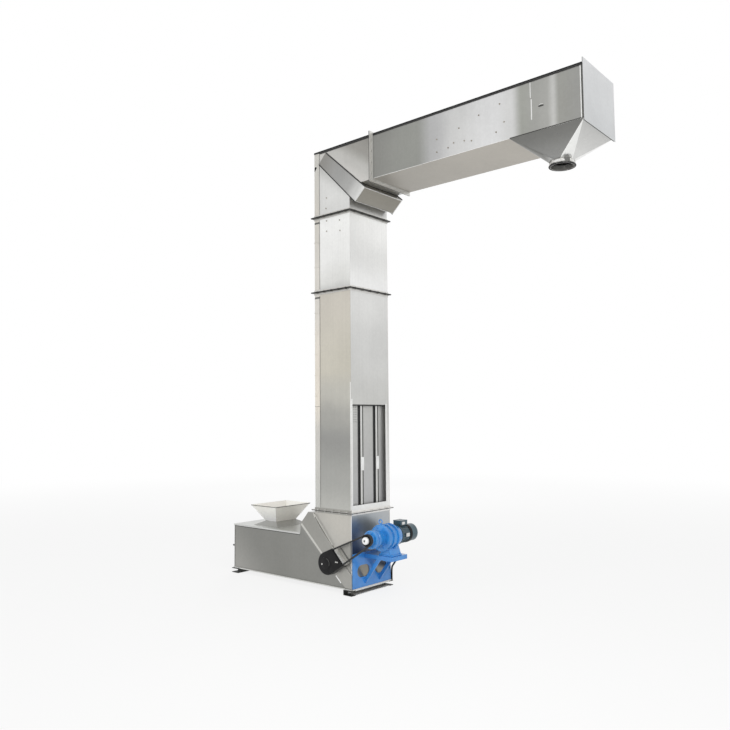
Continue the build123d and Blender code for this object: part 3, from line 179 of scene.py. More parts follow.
@dataclass(frozen=True)
class Tones:
    """A soft run of colour across a sheet, in metres along a direction, on the faces that look one way. Most
    runs paint light and shade onto the sheet.
    """

    stops: Stops
    along: Triple = Facing.UP.value
    facing: Facing | None = None
    drift: float = 0.10

    def paint(self, tree: Tree, place: Socket, cloud: Socket) -> Socket:
        """The run as a colour, bent a little by the clouds.

        Args:
            tree: the material's node tree.
            place: the point's place on the object.
            cloud: the large noise, from zero to one.

        Returns:
            The colour's socket.
        """
        along = add(tree, "ShaderNodeVectorMath", {0: place, 1: self.along}, operation="DOT_PRODUCT")
        bent = add(tree, "ShaderNodeMath", {0: cloud, 1: self.drift, 2: along.outputs["Value"]},
                   operation="MULTIPLY_ADD")
        first, last = self.stops[0][0], self.stops[-1][0]
        shift = self.drift / 2
        share = add(tree, "ShaderNodeMapRange",
                    {"Value": bent.outputs[0], "From Min": first + shift, "From Max": last + shift})
        ramp = add(tree, "ShaderNodeValToRGB", {"Fac": share.outputs[0]})
        ramp.color_ramp.interpolation = "EASE"
        points = ramp.color_ramp.elements
        while len(points) < len(self.stops):
            points.new(0.5)
        for point, (metres, colour) in zip(points, self.stops):
            point.position = (metres - first) / (last - first)
            point.color = linear(colour)
        return ramp.outputs[0]


@dataclass(frozen=True)
class Band:
    """A sharp stripe of another colour, from low to high metres along a direction."""

    low: float
    high: float
    colour: str
    along: Triple = Facing.UP.value


@dataclass(frozen=True)
class Finish:
    """A surface finish, named as a maker would name it. A subclass paints it."""

    name: str

    def material(self) -> bpy.types.Material:
        """The finish as a material, built once.

        Returns:
            The material.
        """
        made = bpy.data.materials.get(self.name)
        if made is None:
            made = bpy.data.materials.new(self.name)
            tree = blank_tree(made)
            shader = add(tree, "ShaderNodeBsdfPrincipled", {})
            add(tree, "ShaderNodeOutputMaterial", {"Surface": shader.outputs[0]})
            self.paint(tree, shader)
        return made

    def paint(self, tree: Tree, shader: Node) -> None:
        """Set the shader's sockets and link its patterns.

        Args:
            tree: the material's node tree.
            shader: its main shader.
        """
        raise NotImplementedError


@dataclass(frozen=True)
class SheetMetal(Finish):
    """Cold-rolled galvanised sheet: a satin grey with soft clouds, faint zinc spangle and rolling lines."""

    tones: tuple[Tones, ...] = ()
    bands: tuple[Band, ...] = ()
    metallic: float = 0.85
    roughness: float = 0.38
    rough_swing: float = 0.06
    spangle_mm: float = 22.0
    spangle_depth: float = 0.03
    cloud_mm: float = 420.0
    cloud_depth: float = 0.10
    roll_mm: float = 16.0
    roll_length_mm: float = 1400.0
    roll_depth: float = 0.05
    pattern_span: Pair = (0.25, 0.75)
    buckle: float = 0.35
    buckle_mm: float = 6.0
    grain: float = 0.12
    grain_mm: float = 1.0

    def paint(self, tree: Tree, shader: Node) -> None:
        """Lay the tones, then the clouds, rolling lines and spangle, then the sharp stripes.

        Args:
            tree: the material's node tree.
            shader: its main shader.
        """
        place = add(tree, "ShaderNodeTexCoord", {}).outputs["Object"]
        normal = add(tree, "ShaderNodeNewGeometry", {}).outputs["Normal"]
        cloud = add(tree, "ShaderNodeTexNoise",
                    {"Vector": place, "Scale": 1 / (self.cloud_mm * MM), "Detail": 2.0}).outputs[0]
        colour = self.tones[0].paint(tree, place, cloud)
        for tones in self.tones[1:]:
            part = tones.paint(tree, place, cloud)
            look = add(tree, "ShaderNodeVectorMath", {0: normal, 1: tones.facing.value},
                       operation="DOT_PRODUCT")
            mask = add(tree, "ShaderNodeMath", {0: look.outputs["Value"], 1: FACES_IT},
                       operation="GREATER_THAN")
            sides = {0: mask.outputs[0], MIX_A: colour, MIX_B: part}
            colour = add(tree, "ShaderNodeMix", sides, data_type="RGBA").outputs[MIX_RESULT]
        across, length = 1 / (self.roll_mm * MM), 1 / (self.roll_length_mm * MM)
        rolled = add(tree, "ShaderNodeMapping", {"Vector": place, "Scale": (across, across, length)})
        streak = add(tree, "ShaderNodeTexNoise",
                     {"Vector": rolled.outputs[0], "Scale": 1.0, "Detail": 2.0}).outputs[0]
        spangle = add(tree, "ShaderNodeTexVoronoi", {"Vector": place, "Scale": 1 / (self.spangle_mm * MM)})
        least, most = self.pattern_span
        for source, depth in ((cloud, self.cloud_depth), (streak, self.roll_depth),
                              (spangle.outputs[1], self.spangle_depth)):
            shade = add(tree, "ShaderNodeMapRange", {"Value": source, "From Min": least, "From Max": most,
                                                     "To Min": 1 - depth / 2, "To Max": 1 + depth / 2})
            mix = add(tree, "ShaderNodeMix", {0: 1.0, MIX_A: colour, MIX_B: shade.outputs[0]},
                      data_type="RGBA", blend_type="MULTIPLY")
            colour = mix.outputs[MIX_RESULT]
        for band in self.bands:
            middle, half = (band.low + band.high) / 2, (band.high - band.low) / 2
            along = add(tree, "ShaderNodeVectorMath", {0: place, 1: band.along}, operation="DOT_PRODUCT")
            inside = add(tree, "ShaderNodeMath", {0: along.outputs["Value"], 1: middle, 2: half},
                         operation="COMPARE")
            sides = {0: inside.outputs[0], MIX_A: colour, MIX_B: linear(band.colour)}
            colour = add(tree, "ShaderNodeMix", sides, data_type="RGBA").outputs[MIX_RESULT]
        rough = add(tree, "ShaderNodeMapRange", {"Value": streak, "To Min": self.roughness - self.rough_swing,
                                                 "To Max": self.roughness + self.rough_swing})
        buckle = add(tree, "ShaderNodeBump",
                     {"Height": cloud, "Strength": self.buckle, "Distance": self.buckle_mm * MM})
        grain = add(tree, "ShaderNodeBump", {"Height": streak, "Strength": self.grain,
                                             "Distance": self.grain_mm * MM, "Normal": buckle.outputs[0]})
        fill(tree, shader, {"Base Color": colour, "Roughness": rough.outputs[0],
                            "Normal": grain.outputs[0], "Metallic": self.metallic})


@dataclass(frozen=True)
class Coating(Finish):
    """Paint, rubber or moulded plastic: a colour that drifts, a fine grain, perhaps a clear gloss."""

    base: str = "#808080"
    worn: str = "#909090"
    drift_mm: float = 90.0
    drift_detail: float = 3.0
    drift_span: Pair = (0.35, 0.7)
    grain_mm: float = 3.0
    grain_depth_mm: float = 0.15
    grain: float = 0.5
    roughness: float = 0.4
    rough_swing: float = 0.07
    coat: float = 0.0
    coat_roughness: float = 0.12
    specular: float = 0.5

    def paint(self, tree: Tree, shader: Node) -> None:
        """Mix the fresh and the worn colour by a soft noise, and roughen by a fine one.

        Args:
            tree: the material's node tree.
            shader: its main shader.
        """
        place = add(tree, "ShaderNodeTexCoord", {}).outputs["Object"]
        patch = add(tree, "ShaderNodeTexNoise", {"Vector": place, "Scale": 1 / (self.drift_mm * MM),
                                                 "Detail": self.drift_detail})
        least, most = self.drift_span
        share = add(tree, "ShaderNodeMapRange",
                    {"Value": patch.outputs[0], "From Min": least, "From Max": most})
        sides = {0: share.outputs[0], MIX_A: linear(self.base), MIX_B: linear(self.worn)}
        colour = add(tree, "ShaderNodeMix", sides, data_type="RGBA").outputs[MIX_RESULT]
        grain = add(tree, "ShaderNodeTexNoise",
                    {"Vector": place, "Scale": 1 / (self.grain_mm * MM), "Detail": 2.0}).outputs[0]
        rough = add(tree, "ShaderNodeMapRange", {"Value": grain, "To Min": self.roughness - self.rough_swing,
                                                 "To Max": self.roughness + self.rough_swing})
        bump = add(tree, "ShaderNodeBump",
                   {"Height": grain, "Strength": self.grain, "Distance": self.grain_depth_mm * MM})
        fill(tree, shader, {
            "Base Color": colour,
            "Roughness": rough.outputs[0],
            "Normal": bump.outputs[0],
            "Specular IOR Level": self.specular,
            "Coat Weight": self.coat,
            "Coat Roughness": self.coat_roughness,
        })


@dataclass(frozen=True)
class BareMetal(Coating):
    """Uncoated metal of small parts: turned steel, zinc-plated bolts or rough cast iron."""

    metallic: float = 0.9

    def paint(self, tree: Tree, shader: Node) -> None:
        """Paint as a coating, then make it metallic."""
        super().paint(tree, shader)
        shader.inputs["Metallic"].default_value = self.metallic


# A sheet's tones run over metres along a direction, upwards where none is given

# Cold-rolled zinc sheet, satin from the rolls: a mid grey with painted light and shade, turning pale above
# the corner and paler on faces that look up
BOOT_SHEET = SheetMetal(
    "boot_galvanised_sheet",
    (
        Tones(((-0.5, "#a3a29e"), (0.0, "#8b8b87"), (0.55, "#8f8f8b"), (0.66, "#b9b8b3"), (1.0, "#c4c1ba")),
              along=(0.631, 0.0, 0.776)),
        Tones(((0.2, "#b9b9b6"), (0.6, "#c9c9c6")), facing=Facing.UP),
    ),
)
# The same sheet facing the lamps, with painted light and a painted reflection: a dark band low down for the
# deck it mirrors
STUB_FRONT_SHEET = SheetMetal(
    "boot_front_painted_reflection_sheet",
    (
        Tones(((0.05, "#8d897f"), (0.20, "#8d897f"), (0.24, "#454c59"), (0.32, "#6f7785"), (0.42, "#a3aab1"),
               (0.58, "#b2b7bb"), (0.72, "#b9babb")), along=(0.0, 0.3, 0.8), drift=0.03),
    ),
    metallic=0.9,
    roughness=0.3,
)
# Side sheets, with painted light and shade: greyest a little below mid height, warmer and paler above
COLUMN_SIDE_SHEET = SheetMetal(
    "column_side_sheet",
    (
        Tones(((0.80, "#bcbcb7"), (1.10, "#adada9"), (1.50, "#9c9c99"), (1.75, "#abaaa5"), (2.0, "#c1bfb7"),
               (2.25, "#c9c5b9"), (3.05, "#cdc8be"))),
    ),
)
# Front panel, with painted light and shade: bright at its foot, greyer half way up and lighter again above
COLUMN_FRONT_SHEET = SheetMetal(
    "column_front_sheet",
    (Tones(((0.80, "#eeeeec"), (1.90, "#c9c9c6"), (2.5, "#d2d2d0"), (3.05, "#dfdfdd"))),),
)
# Upper section: nearly white, a painted reflection of the light of the room, with a separately painted tone
# on faces that look to the front
UPPER_COLUMN_SHEET = SheetMetal(
    "column_upper_sheet",
    (
        Tones(((3.05, "#cbcbc9"), (3.15, "#e0e0dd"), (3.40, "#eeeeec"), (3.75, "#f4f4f2"))),
        Tones(((3.05, "#f2f2f1"), (3.40, "#e4e4e2"), (3.85, "#f5f5f3")), facing=Facing.FRONT),
    ),
)
# Elbow, with painted light and shade: pale low down and darker towards its top, and its underside painted
# light
ELBOW_SHEET = SheetMetal(
    "elbow_sheet",
    (
        Tones(((3.05, "#d5d5d3"), (3.40, "#dadad8"), (3.55, "#c1c1be"), (3.62, "#cdcbc7"), (3.72, "#c1c0bc"),
               (3.86, "#9d9b96"), (4.05, "#8b8a85")), along=(0.5, 0.0, 0.75), drift=0.03),
        Tones(((3.8, "#e9e9e7"), (4.6, "#f2f2f0")), facing=Facing.DOWN),
    ),
)
# Duct: painted light and shade darken and lighten the sheets along it, and the underside, which faces the
# floor, takes a warm painted tone
DUCT_SHEET = SheetMetal(
    "duct_sheet",
    (
        Tones(((1.20, "#8c8c88"), (1.75, "#979893"), (1.95, "#bababa"), (2.20, "#cfcfce"), (2.60, "#dcdcdc"),
               (2.76, "#d2d2d1"), (2.86, "#a2a39d"), (2.98, "#a4a4a0"), (3.09, "#aaaaa6"), (3.145, "#c2c2bf"),
               (3.20, "#9d9d98"), (3.40, "#9b9b98")), along=(1.0, 0.0, 0.0), drift=0.02),
        Tones(((1.2, "#a5a199"), (2.7, "#b6b1a8")), along=(1.0, 0.0, 0.0), facing=Facing.DOWN),
    ),
)
# Flat plate: an even, cool grey
END_SHEET = SheetMetal("end_plate_sheet", (Tones(((4.0, "#cbcdce"), (4.7, "#d6d7d8"))),))
# Upper hood: painted shade, duller and warmer, as it faces the floor
HOOD_SHEET = SheetMetal("hood_sheet", (Tones(((0.9, "#9b9890"), (1.15, "#918d84")), along=(1.0, 0.0, 0.0)),))
# Folded cover of the lower elbow: an even mid grey
BAND_SHEET = SheetMetal("lower_corner_cover_sheet", (Tones(((0.0, "#a9a8a3"), (1.0, "#9a9994"))),))
# Folded cover of the upper elbow: painted light, brighter towards its lower end
UPPER_BAND_SHEET = SheetMetal(
    "upper_corner_cover_sheet",
    (
        Tones(((-2.80, "#93918d"), (-2.45, "#a2a2a0"), (-2.27, "#acacaa"), (-2.15, "#c9c9c7"),
               (-2.07, "#dadad8")), along=(0.707, 0.0, -0.707), drift=0.03),
    ),
)
# Folded sheet with painted light and shade: every side takes its own tone by the way it faces, and the sheet
# pales along the duct, so that the folds show
OUTLET_SHEET = SheetMetal(
    "outlet_sheet",
    (
        Tones(((2.95, "#8c8c89"), (3.10, "#f4f4f2")), along=(1.0, 0.0, 0.0), drift=0.02),
        Tones(((3.9, "#989896"), (4.1, "#7c7c79")), facing=Facing.NEAR, drift=0.04),
        Tones(((3.9, "#dcdcda"), (4.1, "#c6c6c4")), facing=Facing.FRONT, drift=0.04),
        Tones(((3.9, "#a3a3a0"), (4.1, "#8f8f8c")), facing=Facing.FAR, drift=0.04),
        Tones(((3.9, "#a3a3a0"), (4.1, "#8f8f8c")), facing=Facing.BACK, drift=0.04),
    ),
    roughness=0.3,
)
# Angle steel: pale legs, lit and shaded copies on faces that look to the front and to the near side, and a
# dark line of painted shade where two frames meet
FLANGE_SHEET = SheetMetal(
    "angle_frame_steel",
    (
        Tones(((0.7, "#dedcd8"), (4.7, "#c9c8c4"))),
        Tones(((0.7, "#a6a5a0"), (1.0, "#a9a8a3"), (1.3, "#d2d0cc"), (4.7, "#c9c8c4")), facing=Facing.NEAR),
        Tones(((0.7, "#efeeeb"), (1.0, "#e9e8e5"), (4.7, "#d6d5d1")), facing=Facing.FRONT),
    ),
    bands=(
        Band(0.7940, 0.7988, "#4b4b48"),
        Band(3.0494, 3.0606, "#30302e"),
        Band(3.8474, 3.8586, "#30302e"),
        Band(1.1844, 1.1896, "#30302e", along=(1.0, 0.0, 0.0)),
    ),
)
# Lid: painted light, a plain pale grey, as it lies level under the light
LID_SHEET = SheetMetal("lid_sheet", (Tones(((0.5, "#cccdca"), (0.6, "#d2d3d0"))),))
# Covers: pale on top, and their folded lips painted black as painted shade, so that they show as a black line
TOP_SHEET = SheetMetal(
    "top_cover_sheet",
    (
        Tones(((4.5, "#c2c2bf"), (4.6, "#cfcfcc"))),
        Tones(((4.5, "#030303"), (4.6, "#030303")), facing=Facing.NEAR),
        Tones(((4.5, "#030303"), (4.6, "#030303")), facing=Facing.FAR),
    ),
)
# Drawn steel: bright and even
RAIL_SHEET = SheetMetal("bright_rail_steel", (Tones(((0.7, "#d3d3d0"), (3.1, "#d8d8d6"))),))
# Lining: duller than the casing
LINING_SHEET = SheetMetal("lining_sheet", (Tones(((0.8, "#b9b9b9"), (1.9, "#c4c4c1"))),), roughness=0.5)
# Baked ivory paint on steel: warm and hardly metallic, with painted light, greyer low down and paler above
REAR_COVER_PAINT = SheetMetal(
    "rear_cover_ivory_paint",
    (
        Tones(((0.8, "#c4c4bf"), (1.55, "#cac8c2"), (1.9, "#e2dbcf"), (2.3, "#dcd5ca"), (3.0, "#d6d2cb"),
               (3.9, "#cecac2"), (4.5, "#cac8c2"))),
    ),
    metallic=0.15,
    roughness=0.5,
)
# Ivory enamel on steel, with painted light and shade: white on faces that look to the near side and tan on
# those that look back
HOPPER_PAINT = SheetMetal(
    "hopper_ivory_paint",
    (
        Tones(((0.5, "#f4f1ea"), (0.8, "#f4f1ea"))),
        Tones(((0.55, "#ffffff"), (0.8, "#fffdf6")), facing=Facing.NEAR, drift=0.02),
        Tones(((0.55, "#a89d8e"), (0.8, "#b8ad9e")), facing=Facing.BACK, drift=0.02),
    ),
    metallic=0.55,
    roughness=0.5,
)
# Neck: painted shade, a dull grey for the hopper's shade on it
NECK_SHEET = SheetMetal("neck_sheet", (Tones(((0.5, "#a3a3a0"), (0.6, "#b0b0ad"))),), roughness=0.5)
# Rolled channel in dark primer, with painted light on its front flange's edge and on its top, and painted
# shade darker still at its ends
FOOT_PAINT = SheetMetal(
    "foot_channel_paint",
    (
        Tones(((0.0, "#2c2d2b"), (0.1, "#3a3b39"))),
        Tones(((-0.9, "#3a3b39"), (0.7, "#3a3b39"), (0.79, "#f6f5f2")), along=(1.0, 0.0, 0.0),
              facing=Facing.FRONT, drift=0.01),
        Tones(((0.0, "#b9b8b4"), (0.1, "#d6d5d1")), facing=Facing.UP),
    ),
    bands=(
        Band(-0.33, -0.262, "#222321", along=(0.0, 1.0, 0.0)),
        Band(0.262, 0.33, "#222321", along=(0.0, 1.0, 0.0)),
    ),
    metallic=0.1,
    roughness=0.55,
)
# Sprayed paint: nearly white and satin
PALE_STEEL = Coating("pale_painted_steel", base="#f4f4f2", worn="#e6e6e4", roughness=0.4)
# Brushed black paint: deep, with little shine
BLACK_PAINT = Coating("black_paint", base="#141515", worn="#1c1d1e", roughness=0.4, specular=0.15)
# Moulded rubber: dead black, with no gloss; also black strips of painted shade in gaps and under edges
BLACK_RUBBER_AND_SHADE = Coating("black_rubber", base="#060606", worn="#0b0b0b", roughness=0.75, specular=0.03)
# White gloss paint: a soft highlight on the dome
WHITE_PAINT = Coating("white_paint", base="#eeeeec", worn="#dcdcd8", roughness=0.35, coat=0.3)
# Machine enamel: bright blue under a clear gloss
BLUE_PAINT = Coating("blue_machine_enamel", base="#3f8dd6", worn="#3279c2", drift_mm=160.0, roughness=0.3,
                      coat=0.5)
# Motor enamel: dark slate with a soft gloss
SLATE_PAINT = Coating("slate_motor_enamel", base="#3a5560", worn="#30464f", roughness=0.35, coat=0.3)
# Moulded plastic: milky and satin
BUCKET_PLASTIC = Coating("white_bucket_plastic", base="#e4e3dc", worn="#d8d6cc", roughness=0.42)
# Zinc plate: a yellowish grey with a fine grain
ZINC = BareMetal("zinc_plated_steel", base="#a9a49a", worn="#837b6d", drift_mm=12.0, grain_mm=1.5,
                 roughness=0.4)
# Turned steel: bright, with a tight highlight
TURNED_STEEL = BareMetal("turned_steel", base="#b5b7b8", worn="#9b9d9e", drift_mm=25.0, roughness=0.28)
# Sand-cast iron: dark, its grain drawn coarse enough to show
CAST_IRON = BareMetal(
    "cast_iron", base="#4b4d50", worn="#5d5e60", grain_mm=4.0, grain_depth_mm=0.5, roughness=0.6, metallic=0.6
)
# Near-white for painted highlights: folded edges and corners drawn as thin bright lines where they catch the
# light; also the window frame, the outlet's collar and the guard's lip
BRIGHT_EDGE = SheetMetal("bright_folded_edge", (Tones(((0.7, "#ededeb"), (4.7, "#e6e6e4"))),), metallic=0.6)
# Plain steel: a dull mid grey; also the painted highlight arc on the guard's disc
GREY_STEEL = SheetMetal("grey_steel", (Tones(((0.0, "#6b6b68"), (4.7, "#7b7b78"))),), roughness=0.5)
# Sprayed black enamel: smooth enough for a soft highlight
GUARD_PAINT = Coating(
    "guard_black_enamel", base="#101011", worn="#1a1a1b", drift_mm=60.0, roughness=0.32, specular=0.2
)
# Blank plates: pale and smooth
BLANK_PLATE = Coating("blank_pale_plate", base="#e9e9e6", worn="#d9d9d6", roughness=0.35)
# Sand casting under thick enamel: a glossy blue that is slightly uneven
CAST_BLUE = Coating(
    "cast_blue_enamel", base="#2f8cd6", worn="#2679c2", drift_mm=120.0, grain_mm=5.0, grain_depth_mm=0.3,
    roughness=0.24, coat=0.7,
)
# Screws: darker than the sheet round them
SCREW_STEEL = BareMetal("dull_screw_steel", base="#7d7a74", worn="#5f5c57", drift_mm=10.0, roughness=0.45)
# Painted highlight: a strip paler than the sheet beside it, along the folded edges of the corner cover
STRIP_SHEET = SheetMetal("fold_highlight_sheet", (Tones(((0.0, "#c9c8c2"), (1.0, "#cfcec9"))),), metallic=0.6)
# Bright zinc bolts: nearly white on the frames
PALE_BOLTS = BareMetal("pale_bolt_steel", base="#dad9d5", worn="#c9c8c4", drift_mm=10.0, roughness=0.4,
                       metallic=0.5)
# Steel in deep shade: a dark even grey
SHADE_STEEL = SheetMetal("shade_steel", (Tones(((0.0, "#555553"), (4.7, "#5e5e5b"))),), roughness=0.5)
# Dark matt grey: the duct's latch, and lines of painted shade along the duct's edges
DARK_EDGE = Coating("dark_latch_and_edge_shade", base="#3c3c3a", worn="#4a4a47", roughness=0.5, specular=0.2)
# Rim paint: mid grey and matt; also a line of painted shade down the boot's tail corner
RIM_PAINT = Coating("rim_grey_and_shade_line", base="#666562", worn="#73726e", roughness=0.5, specular=0.3)

NODE_FINISHES: dict[Finish, tuple[str, ...]] = {
    BOOT_SHEET: ("boot_side_near", "boot_side_far", "boot_floor", "boot_tail_plate", "lower_corner_hood"),
    STUB_FRONT_SHEET: ("boot_end_plates",),
    COLUMN_SIDE_SHEET: ("column_lower_casing",),
    COLUMN_FRONT_SHEET: ("column_front_panel",),
    UPPER_COLUMN_SHEET: ("column_upper_casing",),
    ELBOW_SHEET: ("elbow_casing",),
    DUCT_SHEET: ("duct_casing",),
    END_SHEET: ("duct_end_plate",),
    HOOD_SHEET: ("upper_corner_hood",),
    BAND_SHEET: ("lower_corner_covers",),
    UPPER_BAND_SHEET: ("upper_corner_covers",),
    OUTLET_SHEET: ("outlet_hopper",),
    FLANGE_SHEET: ("section_flanges", "outlet_spigot"),
    LID_SHEET: ("boot_top_cover",),
    TOP_SHEET: ("top_covers",),
    RAIL_SHEET: ("guide_rails", "chain_tracks", "base_rails"),
    LINING_SHEET: ("lining_panels",),
    REAR_COVER_PAINT: ("rear_covers",),
    HOPPER_PAINT: ("inlet_hopper",),
    NECK_SHEET: ("inlet_neck",),
    PALE_STEEL: ("rail_splice_plates",),
    BLACK_PAINT: ("belt_guard", "outlet_ring", "stay_rod", "drive_pulley", "driven_pulley"),
    FOOT_PAINT: ("foot_channels",),
    BLACK_RUBBER_AND_SHADE: ("flange_gaskets", "cover_seals", "drive_belts"),
    WHITE_PAINT: ("pulley_cap",),
    BLUE_PAINT: ("reducer_housing", "motor_bracket", "lifting_eye"),
    SLATE_PAINT: ("motor_body", "terminal_box", "fan_cover"),
    BUCKET_PLASTIC: ("buckets", "tipping_bucket"),
    ZINC: ("flange_bolts", "panel_screws"),
    TURNED_STEEL: ("drive_shaft", "output_shaft", "motor_rotor", "bucket_chains"),
    CAST_IRON: (
        "drive_sprockets", "tail_wheels", "lower_guide_wheels", "upper_guide_wheels",
        "upper_corner_wheels", "head_wheels", "shaft_bearings", "takeup_blocks",
    ),
}


@dataclass(frozen=True)
class Lamp:
    """A square soft box. Only a glossy one shows in reflections, so that metals keep their colours."""

    name: str
    place: Triple
    target: Triple
    side: float
    watts: float
    glossy: bool = False

    def build(self) -> None:
        """Hang the lamp at its place, facing its target."""
        data = bpy.data.lights.new(self.name, "AREA")
        data.shape = "SQUARE"
        data.size = self.side
        data.energy = self.watts
        lamp = bpy.data.objects.new(self.name, data)
        lamp.location = self.place
        lamp.rotation_euler = (Vector(self.target) - Vector(self.place)).to_track_quat("-Z", "Y").to_euler()
        lamp.visible_glossy = self.glossy
        bpy.context.scene.collection.objects.link(lamp)


@dataclass(frozen=True)
class Studio:
    """Pale floor, soft lamps, white surroundings and the camera at the photograph's place."""

    picture_px: int = 730
    focal_px: float = 718.944
    sensor_mm: float = 36.0
    camera_place: Triple = (5.6928, -5.6526, 1.7444)
    camera_yaw: float = 40.694
    camera_pitch: float = 4.166
    camera_roll: float = -0.468
    sight_end: float = 200.0
    lamps: tuple[Lamp, ...] = (
        Lamp("key_lamp", (9.5, -4.5, 5.0), (0.8, 0.0, 2.2), 6.0, 420.0),
        Lamp("fill_lamp", (-2.5, -10.5, 3.5), (0.8, 0.0, 2.2), 6.0, 330.0),
        Lamp("back_lamp", (-6.0, 8.0, 5.0), (0.8, 0.0, 2.0), 5.0, 260.0),
        Lamp("drive_lamp", (3.4, -3.2, 2.6), (1.15, -0.1, 0.55), 0.5, 22.0, glossy=True),
    )
    soft_light: str = "#f4f5f7"
    soft_strength: float = 0.5
    floor_colour: str = "#ececea"
    floor_reach: float = 60.0
    floor_fade: Pair = (3.0, 16.0)
    floor_glow: Pair = (0.82, 1.0)

    def build(self) -> None:
        """Make the camera, the lamps, the surroundings and the floor."""
        self.camera()
        for lamp in self.lamps:
            lamp.build()
        self.surroundings()
        self.floor()

    def camera(self) -> None:
        """A level-built camera turned by yaw, then pitch, then roll."""
        data = bpy.data.cameras.new("photo_camera")
        data.sensor_width = self.sensor_mm
        data.lens = self.focal_px * self.sensor_mm / self.picture_px
        data.clip_end = self.sight_end
        eye = bpy.data.objects.new("photo_camera", data)
        yaw = Matrix.Rotation(math.radians(self.camera_yaw), 4, "Z")
        pitch = Matrix.Rotation(math.radians(90 + self.camera_pitch), 4, "X")
        roll = Matrix.Rotation(math.radians(self.camera_roll), 4, "Z")
        eye.matrix_world = Matrix.Translation(Vector(self.camera_place)) @ yaw @ pitch @ roll
        bpy.context.scene.collection.objects.link(eye)
        bpy.context.scene.camera = eye

    def surroundings(self) -> None:
        """White to the camera and in reflections, and a plain soft light on the object."""
        world = bpy.data.worlds.new("studio")
        bpy.context.scene.world = world
        tree = blank_tree(world)
        seen = any_ray(tree, "Is Camera Ray", "Is Glossy Ray", "Is Transmission Ray")
        soft = add(tree, "ShaderNodeBackground",
                   {"Color": linear(self.soft_light), "Strength": self.soft_strength})
        white = add(tree, "ShaderNodeBackground", {"Color": linear("#ffffff"), "Strength": 1.0})
        mix = add(tree, "ShaderNodeMixShader", {0: seen, 1: soft.outputs[0], 2: white.outputs[0]})
        add(tree, "ShaderNodeOutputWorld", {"Surface": mix.outputs[0]})

    def floor(self) -> None:
        """A wide pale floor that keeps a soft shadow and fades to white with distance."""
        far = self.floor_reach
        mesh = bpy.data.meshes.new("floor")
        mesh.from_pydata([(x, y, 0.0) for x, y in rectangle((-far, -far), (far, far))], [], [(0, 1, 2, 3)])
        floor = bpy.data.objects.new("floor", mesh)
        bpy.context.scene.collection.objects.link(floor)
        material = bpy.data.materials.new("pale_floor")
        tree = blank_tree(material)
        place = add(tree, "ShaderNodeTexCoord", {}).outputs["Object"]
        away = add(tree, "ShaderNodeVectorMath", {0: place}, operation="LENGTH").outputs["Value"]
        (near_end, far_end), (dim, full) = self.floor_fade, self.floor_glow
        spans = {"Value": away, "From Min": near_end, "From Max": far_end, "To Min": dim, "To Max": full}
        fade = add(tree, "ShaderNodeMapRange", spans, interpolation_type="SMOOTHSTEP").outputs[0]
        seen = any_ray(tree, "Is Camera Ray", "Is Glossy Ray")
        share = add(tree, "ShaderNodeMath", {0: fade, 1: seen}, operation="MULTIPLY").outputs[0]
        matt = add(tree, "ShaderNodeBsdfDiffuse", {"Color": linear(self.floor_colour)})
        glow = add(tree, "ShaderNodeEmission", {"Color": linear("#ffffff"), "Strength": 1.0})
        mix = add(tree, "ShaderNodeMixShader", {0: share, 1: matt.outputs[0], 2: glow.outputs[0]})
        add(tree, "ShaderNodeOutputMaterial", {"Surface": mix.outputs[0]})
        floor.data.materials.append(material)


@dataclass
class Form:
    """A mesh as plain arrays: its points, every face's corners in one run, and how many each face has."""

    points: np.ndarray
    corners: np.ndarray
    sizes: np.ndarray

    def moved(self, place: Sequence[float]) -> Form:
        """The form carried to another place."""
        return Form(self.points + np.asarray(place, float), self.corners, self.sizes)

    def repeated(self, places: Any) -> Form:
        """Copies of the form at many places.

        Args:
            places: how far each copy is moved, as (count, 3).

        Returns:
            The copies as one form.
        """
        places = np.asarray(places, float)
        count, size = len(places), len(self.points)
        points = (self.points[None] + places[:, None]).reshape(-1, 3)
        corners = (self.corners[None] + size * np.arange(count)[:, None]).ravel()
        return Form(points, corners, np.tile(self.sizes, count))


@dataclass(frozen=True)
class Seat:
    """A flat place to build on, with its right and up directions. Height runs out of it, along right x up."""

    origin: Triple
    right: Facing
    up: Facing

    def lay(self, flat: np.ndarray, height: Any) -> np.ndarray:
        """Points in the row frame: origin + x * right + y * up + height * out.

        Args:
            flat: points of the drawing, as (..., 2).
            height: how far out of the seat each lies.

        Returns:
            The points, as (..., 3).
        """
        right, up = np.array(self.right.value), np.array(self.up.value)
        lift = np.broadcast_to(np.asarray(height, float), flat.shape[:-1])
        return (
            np.array(self.origin)
            + flat[..., :1] * right
            + flat[..., 1:2] * up
            + lift[..., None] * np.cross(right, up)
        )


def near_seat(y: float) -> Seat:
    """A seat that looks to the near side, drawn in X and Z."""
    return Seat((0.0, y, 0.0), Facing.FRONT, Facing.UP)


def front_seat(x: float) -> Seat:
    """A seat that looks to the front, drawn in Y and Z."""
    return Seat((x, 0.0, 0.0), Facing.FAR, Facing.UP)


def top_seat(z: float) -> Seat:
    """A seat that looks up, drawn in X and Y."""
    return Seat((0.0, 0.0, z), Facing.FRONT, Facing.FAR)


def joined(forms: Sequence[Form]) -> Form:
    """Several forms as one.

    Args:
        forms: the forms.

    Returns:
        One form with all their points and faces.
    """
    starts = np.cumsum([0] + [len(form.points) for form in forms[:-1]])
    return Form(
        np.concatenate([form.points for form in forms]),
        np.concatenate([form.corners + start for form, start in zip(forms, starts)]),
        np.concatenate([form.sizes for form in forms]),
    )


